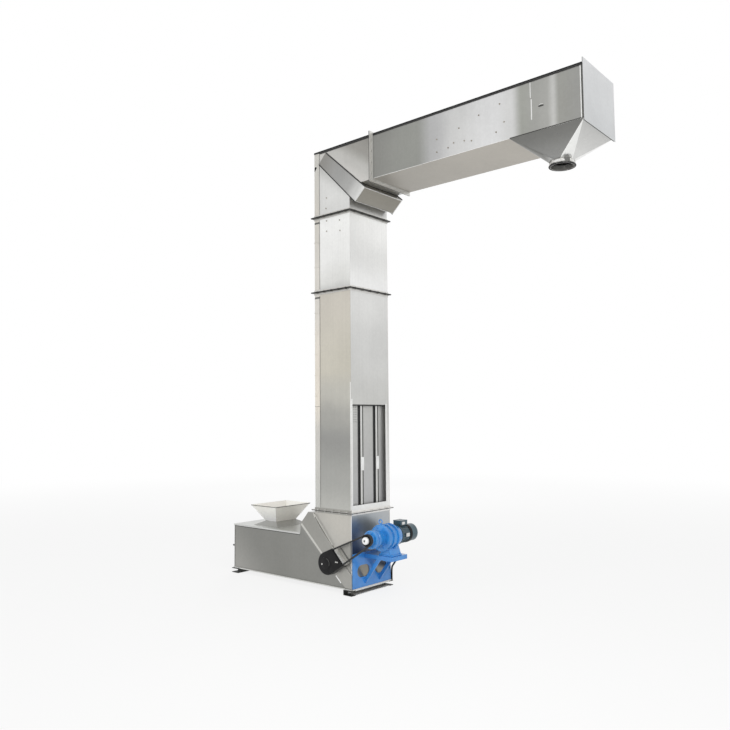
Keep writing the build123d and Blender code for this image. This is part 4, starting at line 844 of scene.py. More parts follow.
def grid(points: np.ndarray, around: bool = False, along: bool = False) -> Form:
    """Quads over a surface given as points[u, v].

    Args:
        points: the surface's points, as (u, v, 3).
        around: whether v closes on itself.
        along: whether u closes on itself.

    Returns:
        The surface.
    """
    rows, columns = points.shape[:2]
    u = np.arange(rows if along else rows - 1)[:, None]
    v = np.arange(columns if around else columns - 1)[None, :]
    after_u, after_v = (u + 1) % rows, (v + 1) % columns
    quads = np.stack(
        [u * columns + v, after_u * columns + v, after_u * columns + after_v, u * columns + after_v], axis=-1
    )
    return Form(points.reshape(-1, 3), quads.ravel(), np.full(quads.size // 4, 4))


def cap(ring: np.ndarray) -> Form:
    """One flat face over a ring of points."""
    return Form(ring, np.arange(len(ring)), np.array([len(ring)]))


def softened(corners: Any, radius: float, steps: int = 4, closed: bool = True) -> np.ndarray:
    """A polygon or a path with its corners rounded.

    Each corner becomes a quadratic curve between two points one radius away along its sides:
    (1 - t)^2 * start + 2t (1 - t) * corner + t^2 * end.

    Args:
        corners: its corner points.
        radius: how far from the corner the curve starts, at most 0.45 of the shorter side.
        steps: straight steps in each curve.
        closed: whether the last corner joins the first.

    Returns:
        The rounded line's points.
    """
    points = np.asarray(corners, float)
    before, after = np.roll(points, 1, axis=0) - points, np.roll(points, -1, axis=0) - points
    run_before = np.linalg.norm(before, axis=1, keepdims=True)
    run_after = np.linalg.norm(after, axis=1, keepdims=True)
    cut = np.minimum(radius, 0.45 * np.minimum(run_before, run_after))
    start, end = points + before / run_before * cut, points + after / run_after * cut
    t = np.linspace(0, 1, steps + 1)[None, :, None]
    curve = (1 - t) ** 2 * start[:, None] + 2 * t * (1 - t) * points[:, None] + t**2 * end[:, None]
    if not closed:
        return np.concatenate([points[:1], curve[1:-1].reshape(-1, points.shape[1]), points[-1:]])
    return curve.reshape(-1, points.shape[1])


def rectangle(low: Pair, high: Pair) -> list[Pair]:
    """Corners of a rectangle, anticlockwise."""
    return [low, (high[0], low[1]), high, (low[0], high[1])]


def round_edge(height: float, radius: float, steps: int = 3) -> list[Pair]:
    """Edge section of a plate with rounded rims: a quarter circle below and one above.

    Args:
        height: the plate's thickness.
        radius: the rims' radius.
        steps: straight steps in each rim.

    Returns:
        The section as (inset, height) pairs.
    """
    turn = np.linspace(0, math.pi / 2, steps + 1)
    inset, rise = radius * (1 - np.sin(turn)), radius * (1 - np.cos(turn))
    return list(zip(inset, rise)) + list(zip(inset[::-1], height - rise[::-1]))


def slab(outline: Any, edge: Sequence[Pair], seat: Seat) -> Form:
    """A plate whose edge section is carried round its outline.

    At each (inset, height) pair of the section the outline moves inwards along every corner's mitre, which is
    (n1 + n2) / (1 + n1.n2) of the two sides' inward normals, and out of the seat by the height.

    Args:
        outline: the plate's corners in the seat's drawing.
        edge: the section, from the seat outwards.
        seat: where it lies.

    Returns:
        The plate.
    """
    flat = np.asarray(outline, float)
    flat = flat[np.linalg.norm(np.roll(flat, -1, axis=0) - flat, axis=1) > SAME_POINT]
    ahead = np.roll(flat, -1, axis=0)
    if np.sum(flat[:, 0] * ahead[:, 1] - ahead[:, 0] * flat[:, 1]) < 0:
        flat = flat[::-1]
    step = np.roll(flat, -1, axis=0) - flat
    step /= np.linalg.norm(step, axis=1, keepdims=True)
    inward = np.stack([-step[:, 1], step[:, 0]], axis=1)
    before = np.roll(inward, 1, axis=0)
    mitre = (inward + before) / (1 + np.sum(inward * before, axis=1, keepdims=True))
    section = np.asarray(edge, float)
    rings = flat[None] + section[:, 0, None, None] * mitre[None]
    points = seat.lay(rings, section[:, 1, None])
    return joined([grid(points, around=True), cap(points[0][::-1]), cap(points[-1])])


def plate(
    low: Any, high: Any, seat: Seat, thick: float, rim: float, corner: float = 0.0, rim_steps: int = 3
) -> Form:
    """A rectangular plate with rounded rims.

    Args:
        low: its lower corner in the seat's drawing, in metres.
        high: its upper corner.
        seat: where it lies.
        thick: its thickness, in millimetres.
        rim: the radius of its rims, in millimetres.
        corner: how far its corners are rounded, in millimetres.
        rim_steps: straight steps in each rim.

    Returns:
        The plate.
    """
    outline = softened(rectangle(low, high), corner * MM)
    return slab(outline, round_edge(thick * MM, rim * MM, rim_steps), seat)


def lathe(profile: Any, axis: Facing, sides: int = 48, closed: bool = True) -> Form:
    """Surface of revolution about a line through the origin.

    Each (distance, radius) pair of the profile becomes a circle of points
    distance * axis + radius * (cos(turn) * first + sin(turn) * second).

    Args:
        profile: distances along the axis and radii.
        axis: the axis.
        sides: points round each circle.
        closed: whether the profile's last point joins its first.

    Returns:
        The surface.
    """
    line = np.asarray(profile, float)
    direction = np.array(axis.value)
    first = np.array((1.0, 0.0, 0.0)) if abs(direction[2]) > 0.5 else np.array((0.0, 0.0, 1.0))
    turn = 2 * math.pi * np.arange(sides) / sides
    ring = np.cos(turn)[:, None] * first + np.sin(turn)[:, None] * np.cross(direction, first)
    points = line[:, 0, None, None] * direction + line[:, 1, None, None] * ring
    return grid(points, around=True, along=closed)


def swept(section: Any, path: Any, up: Facing, closed: bool = False) -> Form:
    """A closed section carried along a path.

    Each (side, lift) point of the section lies at path + side * s + lift * (s x tangent), where s is the
    unit vector along tangent x up.

    Args:
        section: the section's points.
        path: the path's points.
        up: the direction that lift leans towards.
        closed: whether the path's end joins its start.

    Returns:
        The swept solid.
    """
    line, shape = np.asarray(path, float), np.asarray(section, float)
    if closed:
        tangent = np.roll(line, -1, axis=0) - np.roll(line, 1, axis=0)
    else:
        tangent = np.gradient(line, axis=0)
    tangent /= np.linalg.norm(tangent, axis=1, keepdims=True)
    side = np.cross(tangent, np.array(up.value))
    side /= np.linalg.norm(side, axis=1, keepdims=True)
    lift = np.cross(side, tangent)
    points = line[:, None] + shape[None, :, :1] * side[:, None] + shape[None, :, 1:] * lift[:, None]
    if closed:
        return grid(points, around=True, along=True)
    return joined([grid(points, around=True), cap(points[0][::-1]), cap(points[-1])])


def arc(centre: Any, radius: float, turn: np.ndarray) -> np.ndarray:
    """Points of a circle at given angles."""
    return np.asarray(centre) + radius * np.stack([np.cos(turn), np.sin(turn)], axis=-1)


def circle(radius: float, sides: int = 12, phase: float = 0.0) -> np.ndarray:
    """Points of a circle about the origin, the first one a share of a step round from the right."""
    return arc((0.0, 0.0), radius, 2 * math.pi * (np.arange(sides) + phase) / sides)


def strip(width: float, height: float) -> np.ndarray:
    """Section of a flat bar with softened corners, its foot on the path."""
    return softened(rectangle((-width / 2, 0.0), (width / 2, height)), 0.25 * min(width, height), 2)


def scaled(profile: Sequence[Pair], along: float = MM, out: float = MM) -> list[Pair]:
    """A lathe's profile brought to metres, by one factor for its distances and one for its radii."""
    return [(distance * along, radius * out) for distance, radius in profile]


def disc(radius: float, height: float, axis: Facing, sides: int) -> Form:
    """A flat disc that stands on the origin, its sizes in millimetres."""
    return lathe(scaled([(0, 0), (0, radius), (height, radius), (height, 0)]), axis, sides, False)


def hex_head(across: float, height: float, axis: Facing) -> Form:
    """Hexagon bolt head with a chamfered face, on its washer, standing on the origin.

    Args:
        across: its width across the flats.
        height: its height.
        axis: the direction it stands in.

    Returns:
        The head and the washer.
    """
    corner = across / math.sqrt(3)
    chamfer_start, chamfer_r = 0.85 * height, 0.86 * corner
    washer_t, washer_r = 0.22 * height, 1.25 * corner
    head = [(0, 0), (0, corner), (chamfer_start, corner), (height, chamfer_r), (height, 0)]
    washer = [(0, 0), (0, washer_r), (washer_t, washer_r), (washer_t, 0)]
    return joined([lathe(head, axis, 6, False), lathe(washer, axis, 20, False)])


def dome_head(radius: float, height: float, axis: Facing) -> Form:
    """Low domed screw head with a driver hole, standing on the origin.

    Args:
        radius: its radius.
        height: its height.
        axis: the direction it stands in.

    Returns:
        The head.
    """
    rise = np.linspace(0, math.pi / 2, 5)
    dome = [(height * math.sin(a), radius * math.cos(a)) for a in rise[:-1]]
    hole_rim, hole_r, hole_floor = 0.3 * radius, 0.28 * radius, 0.5 * height
    hole = [(height, hole_rim), (hole_floor, hole_r), (hole_floor, 0)]
    return lathe([(0, 0), *dome, *hole], axis, 16, False)


def spun(form: Form, angles: np.ndarray) -> Form:
    """Copies of a form turned about the upright axis through the origin.

    Each point goes to (x cos a - y sin a, x sin a + y cos a, z).

    Args:
        form: the form.
        angles: the turns, in radians.

    Returns:
        The copies as one form.
    """
    x, y, z = form.points.T
    cos, sin = np.cos(angles)[:, None], np.sin(angles)[:, None]
    z = np.broadcast_to(z, (len(angles), len(z)))
    points = np.stack([x * cos - y * sin, x * sin + y * cos, z], axis=-1)
    corners = (form.corners[None] + len(x) * np.arange(len(angles))[:, None]).ravel()
    return Form(points.reshape(-1, 3), corners, np.tile(form.sizes, len(angles)))


def piece(
    name: str,
    form: Form,
    finish: Finish,
    body: str = "frame",
    replaces: Sequence[str] = (),
) -> bpy.types.Object:
    """Make a mesh object, smooth it where it's round, and tie it to the frame.

    Args:
        name: the piece's name.
        form: its mesh.
        finish: its finish.
        body: the CAD body it moves with.
        replaces: CAD nodes that it stands for.

    Returns:
        The object.
    """
    mesh = bpy.data.meshes.new(name)
    mesh.vertices.add(len(form.points))
    mesh.vertices.foreach_set("co", form.points.astype(np.float32).ravel())
    mesh.loops.add(len(form.corners))
    mesh.loops.foreach_set("vertex_index", form.corners.astype(np.int32))
    mesh.polygons.add(len(form.sizes))
    starts = np.concatenate([[0], np.cumsum(form.sizes)[:-1]])
    mesh.polygons.foreach_set("loop_start", starts.astype(np.int32))
    mesh.update(calc_edges=True)
    work = bmesh.new()
    work.from_mesh(mesh)
    bmesh.ops.remove_doubles(work, verts=work.verts, dist=SAME_POINT)
    bmesh.ops.recalc_face_normals(work, faces=work.faces)
    work.to_mesh(mesh)
    work.free()
    mesh.shade_smooth()
    mesh.set_sharp_from_angle(angle=SMOOTH_BELOW)
    mesh.materials.append(finish.material())
    made = bpy.data.objects.new(name, mesh)
    bpy.context.scene.collection.objects.link(made)
    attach(made, body)
    if replaces:
        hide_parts(*replaces)
    LOG.info("piece %s: %d faces on %s", name, len(form.sizes), body)
    return made


@dataclass(frozen=True)
class Trim:
    """A straight flat bar with softened corners: width and height in millimetres, and its foot's two ends.

    One that is on both sides has its mirror image on the far side too.
    """

    width: float
    height: float
    start: Triple
    end: Triple
    up: Facing = Facing.NEAR
    both: bool = False

    def form(self) -> Form:
        """The bar, and its mirror image if it has one.

        Returns:
            One form.
        """
        section = strip(self.width * MM, self.height * MM)
        bar = swept(section, [self.start, self.end], self.up)
        if not self.both:
            return bar
        far_ends = [(x, -y, z) for x, y, z in (self.start, self.end)]
        return joined([bar, swept(section, far_ends, Facing.FAR)])


@dataclass(frozen=True)
class Trimming:
    """A piece that is made of straight bars."""

    name: str
    finish: Finish
    slot: str
    trims: tuple[Trim, ...]

    def build(self) -> None:
        """Make the piece."""
        piece(self.name, joined([trim.form() for trim in self.trims]), self.finish)


@dataclass(frozen=True)
class Boot:
    """Trim of the boot: painted shade under the lid's edge and down the tail corner, painted highlights along
    the corner cover's edges and the boot's corner, and the bent stay.
    """

    trim: tuple[Trimming, ...] = (
        # Black strips of painted shadow under the lid's edge
        Trimming("lid_shadow_line", BLACK_RUBBER_AND_SHADE, "black_rubber", (
            Trim(7, 3, (-0.896, -0.3, 0.5225), (0.172, -0.3, 0.5225), both=True),
            Trim(7, 3, (-0.900, -0.3, 0.5225), (-0.900, 0.3, 0.5225), Facing.BACK))),
        # A grey line of painted shade down the tail corner
        Trimming("tail_corner_shade_line", RIM_PAINT, "casing_steel", (
            Trim(8, 1.6, (-0.895, -0.3, 0.066), (-0.895, -0.3, 0.517)),)),
        # Pale strips of painted highlight along the corner cover's folded edges
        Trimming("corner_cover_highlight", STRIP_SHEET, "casing_steel", (
            Trim(24, 1.2, (0.206, -0.3145, 0.6407), (0.508, -0.3145, 0.364)),)),
        Trimming("corner_cover_fold_highlight", STRIP_SHEET, "casing_steel", (
            Trim(7, 1, (0.396, -0.3145, 0.7535), (0.652, -0.3145, 0.4645)),)),
        # Near-white painted highlights: the corner cover's lower edge and the boot's front corner
        Trimming("corner_cover_low_highlight", BRIGHT_EDGE, "casing_steel", (
            Trim(14, 2, (0.684, -0.3, 0.1695), (0.752, -0.3, 0.1072)),)),
        Trimming("boot_corner_highlight", BRIGHT_EDGE, "casing_steel", (
            Trim(7, 1.5, (0.896, -0.3, 0.070), (0.896, -0.3, 0.770)),)),
    )
    stay: tuple[Triple, ...] = ((0.910, 0.310, 0.05), (0.910, 0.310, 0.185), (1.205, 0.060, 0.372))
    stay_bend: float = 0.080
    stay_r: float = 0.009

    def build(self) -> None:
        """Make the painted shade lines and highlights, and the stay."""
        for part in self.trim:
            part.build()
        path = softened(self.stay, self.stay_bend, 12, closed=False)
        rod = swept(circle(self.stay_r, 16), path, Facing.FAR)
        piece("bent_stay", rod, BLACK_PAINT, replaces=("stay_rod",))


@dataclass(frozen=True)
class Inlet:
    """Rolled rim and corner seams of the feed hopper."""

    centre_x: float = -0.450
    rim: Pair = (0.206, 0.266)
    rim_corner: float = 0.012
    tube_r: float = 0.0042
    throat: Pair = (0.085, 0.150)
    throat_z: float = 0.592
    seam_top: Triple = (0.200, 0.260, -0.008)
    seam_r: float = 0.0016

    def build(self) -> None:
        """Make the rim and the seams."""
        x, (a, b) = self.centre_x, self.rim
        top = float(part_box("inlet_hopper")[1][2])
        loop = top_seat(top).lay(softened(rectangle((x - a, -b), (x + a, b)), self.rim_corner), 0.0)
        tube = circle(self.tube_r, 10) - (0.0, self.tube_r)
        piece("hopper_rim", swept(tube, loop, Facing.UP, closed=True), RIM_PAINT)
        seams = []
        for sx, sy in ((-1, -1), (-1, 1), (1, -1), (1, 1)):
            low = (x + sx * self.throat[0], sy * self.throat[1], self.throat_z)
            high = (x + sx * self.seam_top[0], sy * self.seam_top[1], top + self.seam_top[2])
            seams.append(swept(circle(self.seam_r, 8), [low, high], Facing.FAR))
        # The corner seams are real; their near-white colour is a painted highlight
        piece("hopper_seams", joined(seams), BRIGHT_EDGE)


@dataclass(frozen=True)
class Window:
    """Inspection window of the column: bright frame, strips of painted shade in the gaps, vent holes, painted
    shadow under its head and a painted highlight down the corner.
    """

    front: float = 0.900
    frame: tuple[Pair, ...] = (
        (-0.2985, 0.8025), (0.262, 0.8025), (0.262, 1.885), (0.2435, 1.885), (0.2435, 0.8695),
        (-0.2775, 0.8695), (-0.2775, 1.93), (-0.2985, 1.93),
    )
    near_gaps: tuple[Pair, ...] = ((-0.161, -0.1212), (0.078, 0.1178))
    far_gaps: tuple[Pair, ...] = ((-0.1178, -0.073), (0.1212, 0.166))
    gap_x: float = 0.8622
    gap_z: Pair = (0.803, 1.95)
    vent_x: float = 0.864
    vent_columns: Triple = (-0.245, -0.215, -0.185)
    vent_low: float = 1.70
    vent_pitch: float = 0.0245
    vent_rows: int = 8
    head_x: float = 0.890
    head_shadow: tuple[Pair, Pair] = ((-0.2765, 1.862), (0.2425, 1.8745))
    # A near-white painted highlight down the column's front corner
    corner_highlight: Trimming = Trimming("column_corner_highlight", BRIGHT_EDGE, "casing_steel", (
        Trim(9, 1.5, (0.895, -0.3, 0.828), (0.895, -0.3, 2.10)),))

    def build(self) -> None:
        """Make the frame, the painted shade in the gaps, the vent holes, the painted shadow under the head
        and the corner's painted highlight.
        """
        frame = slab(self.frame, round_edge(1.5 * MM, 0.5 * MM), front_seat(self.front))
        piece("window_frame", frame, BRIGHT_EDGE)
        # Black and dark grey strips: painted shade in the dark gaps beside the rails
        piece("gap_shadow_strips", self.fillers(self.near_gaps), BLACK_RUBBER_AND_SHADE)
        piece("gap_shades", self.fillers(self.far_gaps), SHADE_STEEL)
        heights = self.vent_low + self.vent_pitch * np.arange(self.vent_rows)
        columns, rows = np.meshgrid(self.vent_columns, heights)
        spots = front_seat(self.vent_x).lay(np.stack([columns.ravel(), rows.ravel()], axis=1), 0.0)
        vents = disc(radius=4.5, height=0.6, axis=Facing.FRONT, sides=10).repeated(spots)
        piece("lining_vents", vents, SHADE_STEEL)
        # A black strip of painted shadow under the opening's head, from the panel's folded lip
        head = plate(*self.head_shadow, front_seat(self.head_x), thick=5, rim=1)
        piece("window_top_shadow", head, BLACK_RUBBER_AND_SHADE)
        self.corner_highlight.build()

    def fillers(self, gaps: Sequence[Pair]) -> Form:
        """Upright strips of painted shade that fill gaps between linings and rails.

        Args:
            gaps: each gap's two edges across the column.

        Returns:
            The strips.
        """
        (low, high), seat = self.gap_z, front_seat(self.gap_x)
        return joined([plate((y0, low), (y1, high), seat, thick=1.6, rim=0.4, rim_steps=2)
                       for y0, y1 in gaps])


@dataclass(frozen=True)
class Joints:
    """Hexagon bolts with washers and nuts that clamp the angle frames."""

    levels: tuple[float, ...] = (0.800, 3.055, 3.853)
    pale_below: float = 1.0
    upright: float = 1.190
    casing: tuple[Pair, Pair] = ((0.400, -0.300), (0.900, 0.300))
    duct_z: Pair = (4.107, 4.562)
    out: float = 0.016
    pitch: float = 0.110
    face: float = 0.0055
    across: float = 0.013
    head: float = 0.0055
    nut: float = 0.007
    duct_head: float = 0.006

    def build(self) -> None:
        """Make the heads and nuts: darker ones on the column, pale ones on the boot and the duct."""
        (x0, y0), (x1, y1) = self.casing
        xs, ys = self.spread(x0, x1), self.spread(y0, y1)
        sides = [(x, s * (y1 + self.out)) for x in xs for s in (-1, 1)]
        ends = [(x1 + self.out, y) for y in ys] + [(x0 - self.out, y) for y in ys]
        plan = np.array(sides + ends)
        upper, pale = [], []
        for axis, sign, height in ((Facing.UP, 1, self.head), (Facing.DOWN, -1, self.nut)):
            form = hex_head(self.across, height, axis)
            for level in self.levels:
                row = form.repeated(top_seat(level + sign * self.face).lay(plan, 0.0))
                (pale if level < self.pale_below else upper).append(row)
        stands = [(s * (y1 + self.out), z) for z in self.spread(*self.duct_z) for s in (-1, 1)]
        stands += [(y, self.duct_z[0] - self.out) for y in ys]
        for axis, sign in ((Facing.FRONT, 1), (Facing.BACK, -1)):
            spots = front_seat(self.upright + sign * self.face).lay(np.array(stands), 0.0)
            pale.append(hex_head(self.across, self.duct_head, axis).repeated(spots))
        piece("joint_bolts", joined(upper), SCREW_STEEL, replaces=("flange_bolts",))
        piece("pale_joint_bolts", joined(pale), PALE_BOLTS)

    def spread(self, low: float, high: float) -> list[float]:
        """Evenly spaced places about one pitch apart, half a pitch from each end.

        Args:
            low: the row's start.
            high: the row's end.

        Returns:
            The places.
        """
        count = max(2, round((high - low) / self.pitch))
        step = (high - low) / count
        return [low + step * (i + 0.5) for i in range(count)]


@dataclass(frozen=True)
class RearCovers:
    """Small parts on the near legs of the rear covers: bands under the joints, a clip and edge lines."""

    legs: Pair = (0.402, 0.4735)
    joints: Pair = (3.055, 3.853)
    face: float = -0.3002
    band: Pair = (-0.066, -0.047)
    clip: tuple[Pair, ...] = ((0.404, 4.360), (0.436, 4.398), (0.420, 4.412), (0.404, 4.404))
    edges: Trimming = Trimming("cover_lines", RIM_PAINT, "dark_paint", (
        Trim(2.5, 1.2, (0.474, -0.3022, 0.83), (0.474, -0.3022, 3.02)),
        Trim(2.5, 1.2, (0.474, -0.3022, 3.085), (0.474, -0.3022, 3.82)),
        Trim(2.5, 1.2, (0.474, -0.3022, 3.88), (0.474, -0.3022, 4.54)),
        Trim(3, 1, (0.402, -0.3028, 1.86), (0.4735, -0.3028, 1.86))))

    def build(self) -> None:
        """Make the bands, the clip and the thin lines of the covers' edges."""
        (left, right), (low, high), seat = self.legs, self.band, near_seat(self.face)
        bands = [plate((left, joint + low), (right, joint + high), seat, thick=1.6, rim=0.4, rim_steps=2)
                 for joint in self.joints]
        piece("cover_bands", joined(bands), GREY_STEEL)
        clip = slab(softened(self.clip, 6 * MM), round_edge(2.4 * MM, 1 * MM), seat)
        piece("cover_clip", clip, BLACK_PAINT)
        self.edges.build()


@dataclass(frozen=True)
class CornerSeals:
    """Black seals along the upper elbow's diagonal covers, and strips of painted shade and painted highlights
    along its hood.
    """

    low: Pair = (0.980, 3.924)
    high: Pair = (1.109, 4.044)
    top: Pair = (0.570, 4.524)
    back: Pair = (0.4755, 4.428)
    wall: float = -0.3005
    out: float = 0.006
    hood: tuple[Trimming, ...] = (
        # Black strips of painted shade under the hood's neck
        Trimming("hood_neck_shadows", BLACK_RUBBER_AND_SHADE, "black_rubber", (
            Trim(7, 5, (0.9045, -0.290, 4.001), (0.9045, 0.290, 4.001), Facing.FRONT),
            Trim(7, 5, (1.045, -0.290, 4.1065), (1.045, 0.290, 4.1065), Facing.DOWN))),
        # Near-white painted highlights along the hood's edges
        Trimming("hood_edge_highlights", BRIGHT_EDGE, "casing_steel", (
            Trim(9, 3, (1.106, -0.296, 4.040), (1.106, 0.296, 4.040), Facing.FRONT),
            Trim(9, 3, (0.984, -0.296, 3.927), (0.984, 0.296, 3.927), Facing.DOWN))),
    )

    def build(self) -> None:
        """Make the covers' seals on both sides, then the hood's painted shade strips and painted highlights.
        """
        seals = []
        for start, end in ((self.low, self.back), (self.high, self.top)):
            (x0, z0), (x1, z1) = np.array([start, end]) + self.outwards(start, end) * self.out
            seals.append(Trim(9, 7, (x0, self.wall, z0), (x1, self.wall, z1), both=True))
        Trimming("corner_edge_seals", BLACK_RUBBER_AND_SHADE, "black_rubber", tuple(seals)).build()
        for part in self.hood:
            part.build()

    def outwards(self, start: Pair, end: Pair) -> np.ndarray:
        """Unit direction across an edge, away from the cover's middle.

        Args:
            start: the edge's start.
            end: its end.

        Returns:
            The direction, in X and Z.
        """
        along = np.subtract(end, start)
        across = np.array([along[1], -along[0]]) / np.linalg.norm(along)
        middle = np.mean([self.low, self.high, self.top, self.back], axis=0)
        return across if np.dot(np.subtract(start, middle), across) > 0 else -across


@dataclass(frozen=True)
class DuctTrim:
    """Joint strips, edge seals and latch on the sides of duct and elbow, with painted highlights and lines of
    painted shade along their edges.
    """

    wall: float = -0.300
    upper: tuple[Trimming, ...] = (
        Trimming("duct_joint_strips", BRIGHT_EDGE, "casing_steel", (
            Trim(7, 1.6, (2.943, -0.3, 4.405), (2.943, -0.3, 4.539), both=True),
            Trim(9, 1.6, (2.950, -0.3, 4.215), (2.950, -0.3, 4.391), both=True))),
        Trimming("cover_edge_seal", BLACK_RUBBER_AND_SHADE, "black_rubber", (
            Trim(14, 5.2, (1.62, -0.3, 4.5475), (3.398, -0.3, 4.5475), both=True),)),
    )
    lower: tuple[Trimming, ...] = (
        # A near-white painted highlight along the duct's lower near edge
        Trimming("duct_corner_highlight", BRIGHT_EDGE, "casing_steel", (
            Trim(4, 1.2, (1.225, -0.3, 4.1085), (2.736, -0.3, 4.1085)),)),
        # A dark line of painted shadow where the hopper meets the duct
        Trimming("duct_hopper_shadow_line", DARK_EDGE, "dark_paint", (
            Trim(7, 1.4, (2.740, -0.3, 4.1105), (3.400, -0.3, 4.1105)),)),
        Trimming("elbow_edge_seal", BLACK_RUBBER_AND_SHADE, "black_rubber", (
            Trim(19, 5.2, (0.476, -0.3, 4.545), (1.186, -0.3, 4.545), both=True),
            Trim(13, 5.2, (1.222, -0.3, 4.548), (1.620, -0.3, 4.548), both=True))),
        # Dark lines of painted shade at the duct's end and under its end plate
        Trimming("duct_end_shadow_lines", DARK_EDGE, "dark_paint", (
            Trim(6, 1.8, (3.395, -0.3, 4.110), (3.395, -0.3, 4.546), both=True),
            Trim(4, 1, (3.4053, -0.305, 4.087), (3.4053, -0.305, 4.600)),
            Trim(4, 4, (3.4053, -0.305, 4.087), (3.4053, 0.305, 4.087), Facing.DOWN))),
        # A near-white painted highlight beside the end's shade line
        Trimming("duct_end_highlight", BRIGHT_EDGE, "casing_steel", (
            Trim(9, 1.8, (3.3855, -0.3, 4.110), (3.3855, -0.3, 4.546), both=True),)),
    )
    latch: tuple[Pair, Pair] = ((3.015, 4.305), (3.060, 4.317))
    # Bright arc on the latch: a painted highlight
    latch_glint: tuple[Pair, ...] = ((3.018, 4.318), (3.037, 4.327), (3.057, 4.318))

    def build(self) -> None:
        """Make the strips and the cover's seal, then the latch with its painted highlight, then the painted
        highlights and shade lines along the edges.
        """
        for part in self.upper:
            part.build()
        seat = near_seat(self.wall)
        latch = plate(*self.latch, seat, thick=4, rim=1.2, corner=4)
        piece("duct_latch", latch, DARK_EDGE)
        # The latch's bright arc, a painted highlight
        eye = softened(seat.lay(np.array(self.latch_glint), 0.0), 15 * MM, closed=False)
        piece("duct_latch_highlight", swept(strip(4 * MM, 2 * MM), eye, Facing.NEAR), BRIGHT_EDGE)
        for part in self.lower:
            part.build()


@dataclass(frozen=True)
class Discharge:
    """Discharge hopper folded from flat triangles and oblique cones, its clamped collar and drilled ring."""

    centre: Pair = (3.0705, 0.0)
    half: Pair = (0.3325, 0.300)
    top: float = 4.1065
    bottom: float = 3.905
    round_r: float = 0.100
    wall: float = 0.002
    rows: int = 7
    first_rows: Pair = (0.0, 0.004)
    second_row: float = 0.02
    quarter_points: int = 13
    collar_z: float = 3.8815
    collar: tuple[Pair, ...] = ((0, 0.2), (0, 2), (2, 3.4), (16, 3.4), (18, 2), (18, 0.2))
    clamp_z: float = 3.879
    clamp: tuple[Pair, Pair] = ((-0.011, 0.0), (0.011, 0.026))
    clamps: int = 8
    clamp_phase: float = 22.5
    patch: tuple[Pair, Pair] = ((-0.022, 0.0), (0.022, 0.03))
    patch_turn: float = 48.0
    ring_z: Pair = (3.8625, 3.8705)
    ring_r: float = 0.115
    ring_rim: float = 0.0015
    ring_bolts: int = 8
    bolt_circle: float = 0.108

    def build(self) -> None:
        """Make the hopper, the collar with its clamps, and the ring with its holes."""
        outer = self.transition(self.half, self.round_r)
        half_x, half_y = self.half
        inner = self.transition((half_x - self.wall, half_y - self.wall), self.round_r - self.wall)
        shell = grid(np.concatenate([outer, inner[::-1]]), around=True, along=True)
        piece("discharge_hopper", shell, OUTLET_SHEET, replaces=("outlet_hopper",))
        x, y = self.centre
        r = self.round_r
        collar = lathe([(rise * MM, r + out * MM) for rise, out in self.collar], Facing.UP, sides=64)
        piece("spigot_collar", collar.moved((x, y, self.collar_z)), BRIGHT_EDGE)
        place = (x, y, self.clamp_z)
        clamp = plate(*self.clamp, near_seat(-r - 3 * MM), thick=5, rim=1.5, corner=3, rim_steps=2)
        angles = math.radians(self.clamp_phase) + 2 * math.pi * np.arange(self.clamps) / self.clamps
        piece("collar_clamps", spun(clamp, angles).moved(place), PALE_BOLTS)
        patch = plate(*self.patch, near_seat(-r - 3.6 * MM), thick=1.5, rim=0.5, corner=2, rim_steps=2)
        turned = spun(patch, np.radians([self.patch_turn])).moved(place)
        piece("collar_plate", turned, GREY_STEEL)
        low, high = self.ring_z
        bore, edge, rim, thick = r + 0.3 * MM, self.ring_r, self.ring_rim, high - low
        ring = lathe([(0, bore), (0, edge - rim), (rim, edge), (thick - rim, edge), (thick, edge - rim),
                      (thick, bore)], Facing.UP, sides=96)
        piece("spigot_ring", ring.moved((x, y, low)), BLACK_PAINT, replaces=("outlet_ring",))
        spots = top_seat(low - 0.4 * MM).lay(circle(self.bolt_circle, self.ring_bolts) + self.centre, 0.0)
        holes = disc(radius=4.5, height=0.5, axis=Facing.UP, sides=12).repeated(spots)
        piece("ring_holes", holes, GREY_STEEL)

    def transition(self, half: Pair, radius: float) -> np.ndarray:
        """Square-to-round surface as points[row, column].

        Each quarter of the circle at the bottom is joined to one corner of the rectangle at the top, which
        gives the oblique cones, and the flat triangles close between one quarter's last line and the next
        one's first: (1 - s) * corner + s * circle(turn).

        Args:
            half: half sides of the rectangle.
            radius: the circle's radius.

        Returns:
            The points.
        """
        quarter = np.linspace(0, math.pi / 2, self.quarter_points)
        turn = (quarter[None] + math.pi / 2 * np.arange(4)[:, None]).ravel()
        signs = np.repeat(np.array([(1, 1), (-1, 1), (-1, -1), (1, -1)]), self.quarter_points, axis=0)
        upper = top_seat(self.top).lay(np.array(self.centre) + signs * np.array(half), 0.0)
        lower = top_seat(self.bottom).lay(arc(self.centre, radius, turn), 0.0)
        share = np.concatenate([self.first_rows, np.linspace(self.second_row, 1, self.rows)])[:, None, None]
        return (1 - share) * upper[None] + share * lower[None]


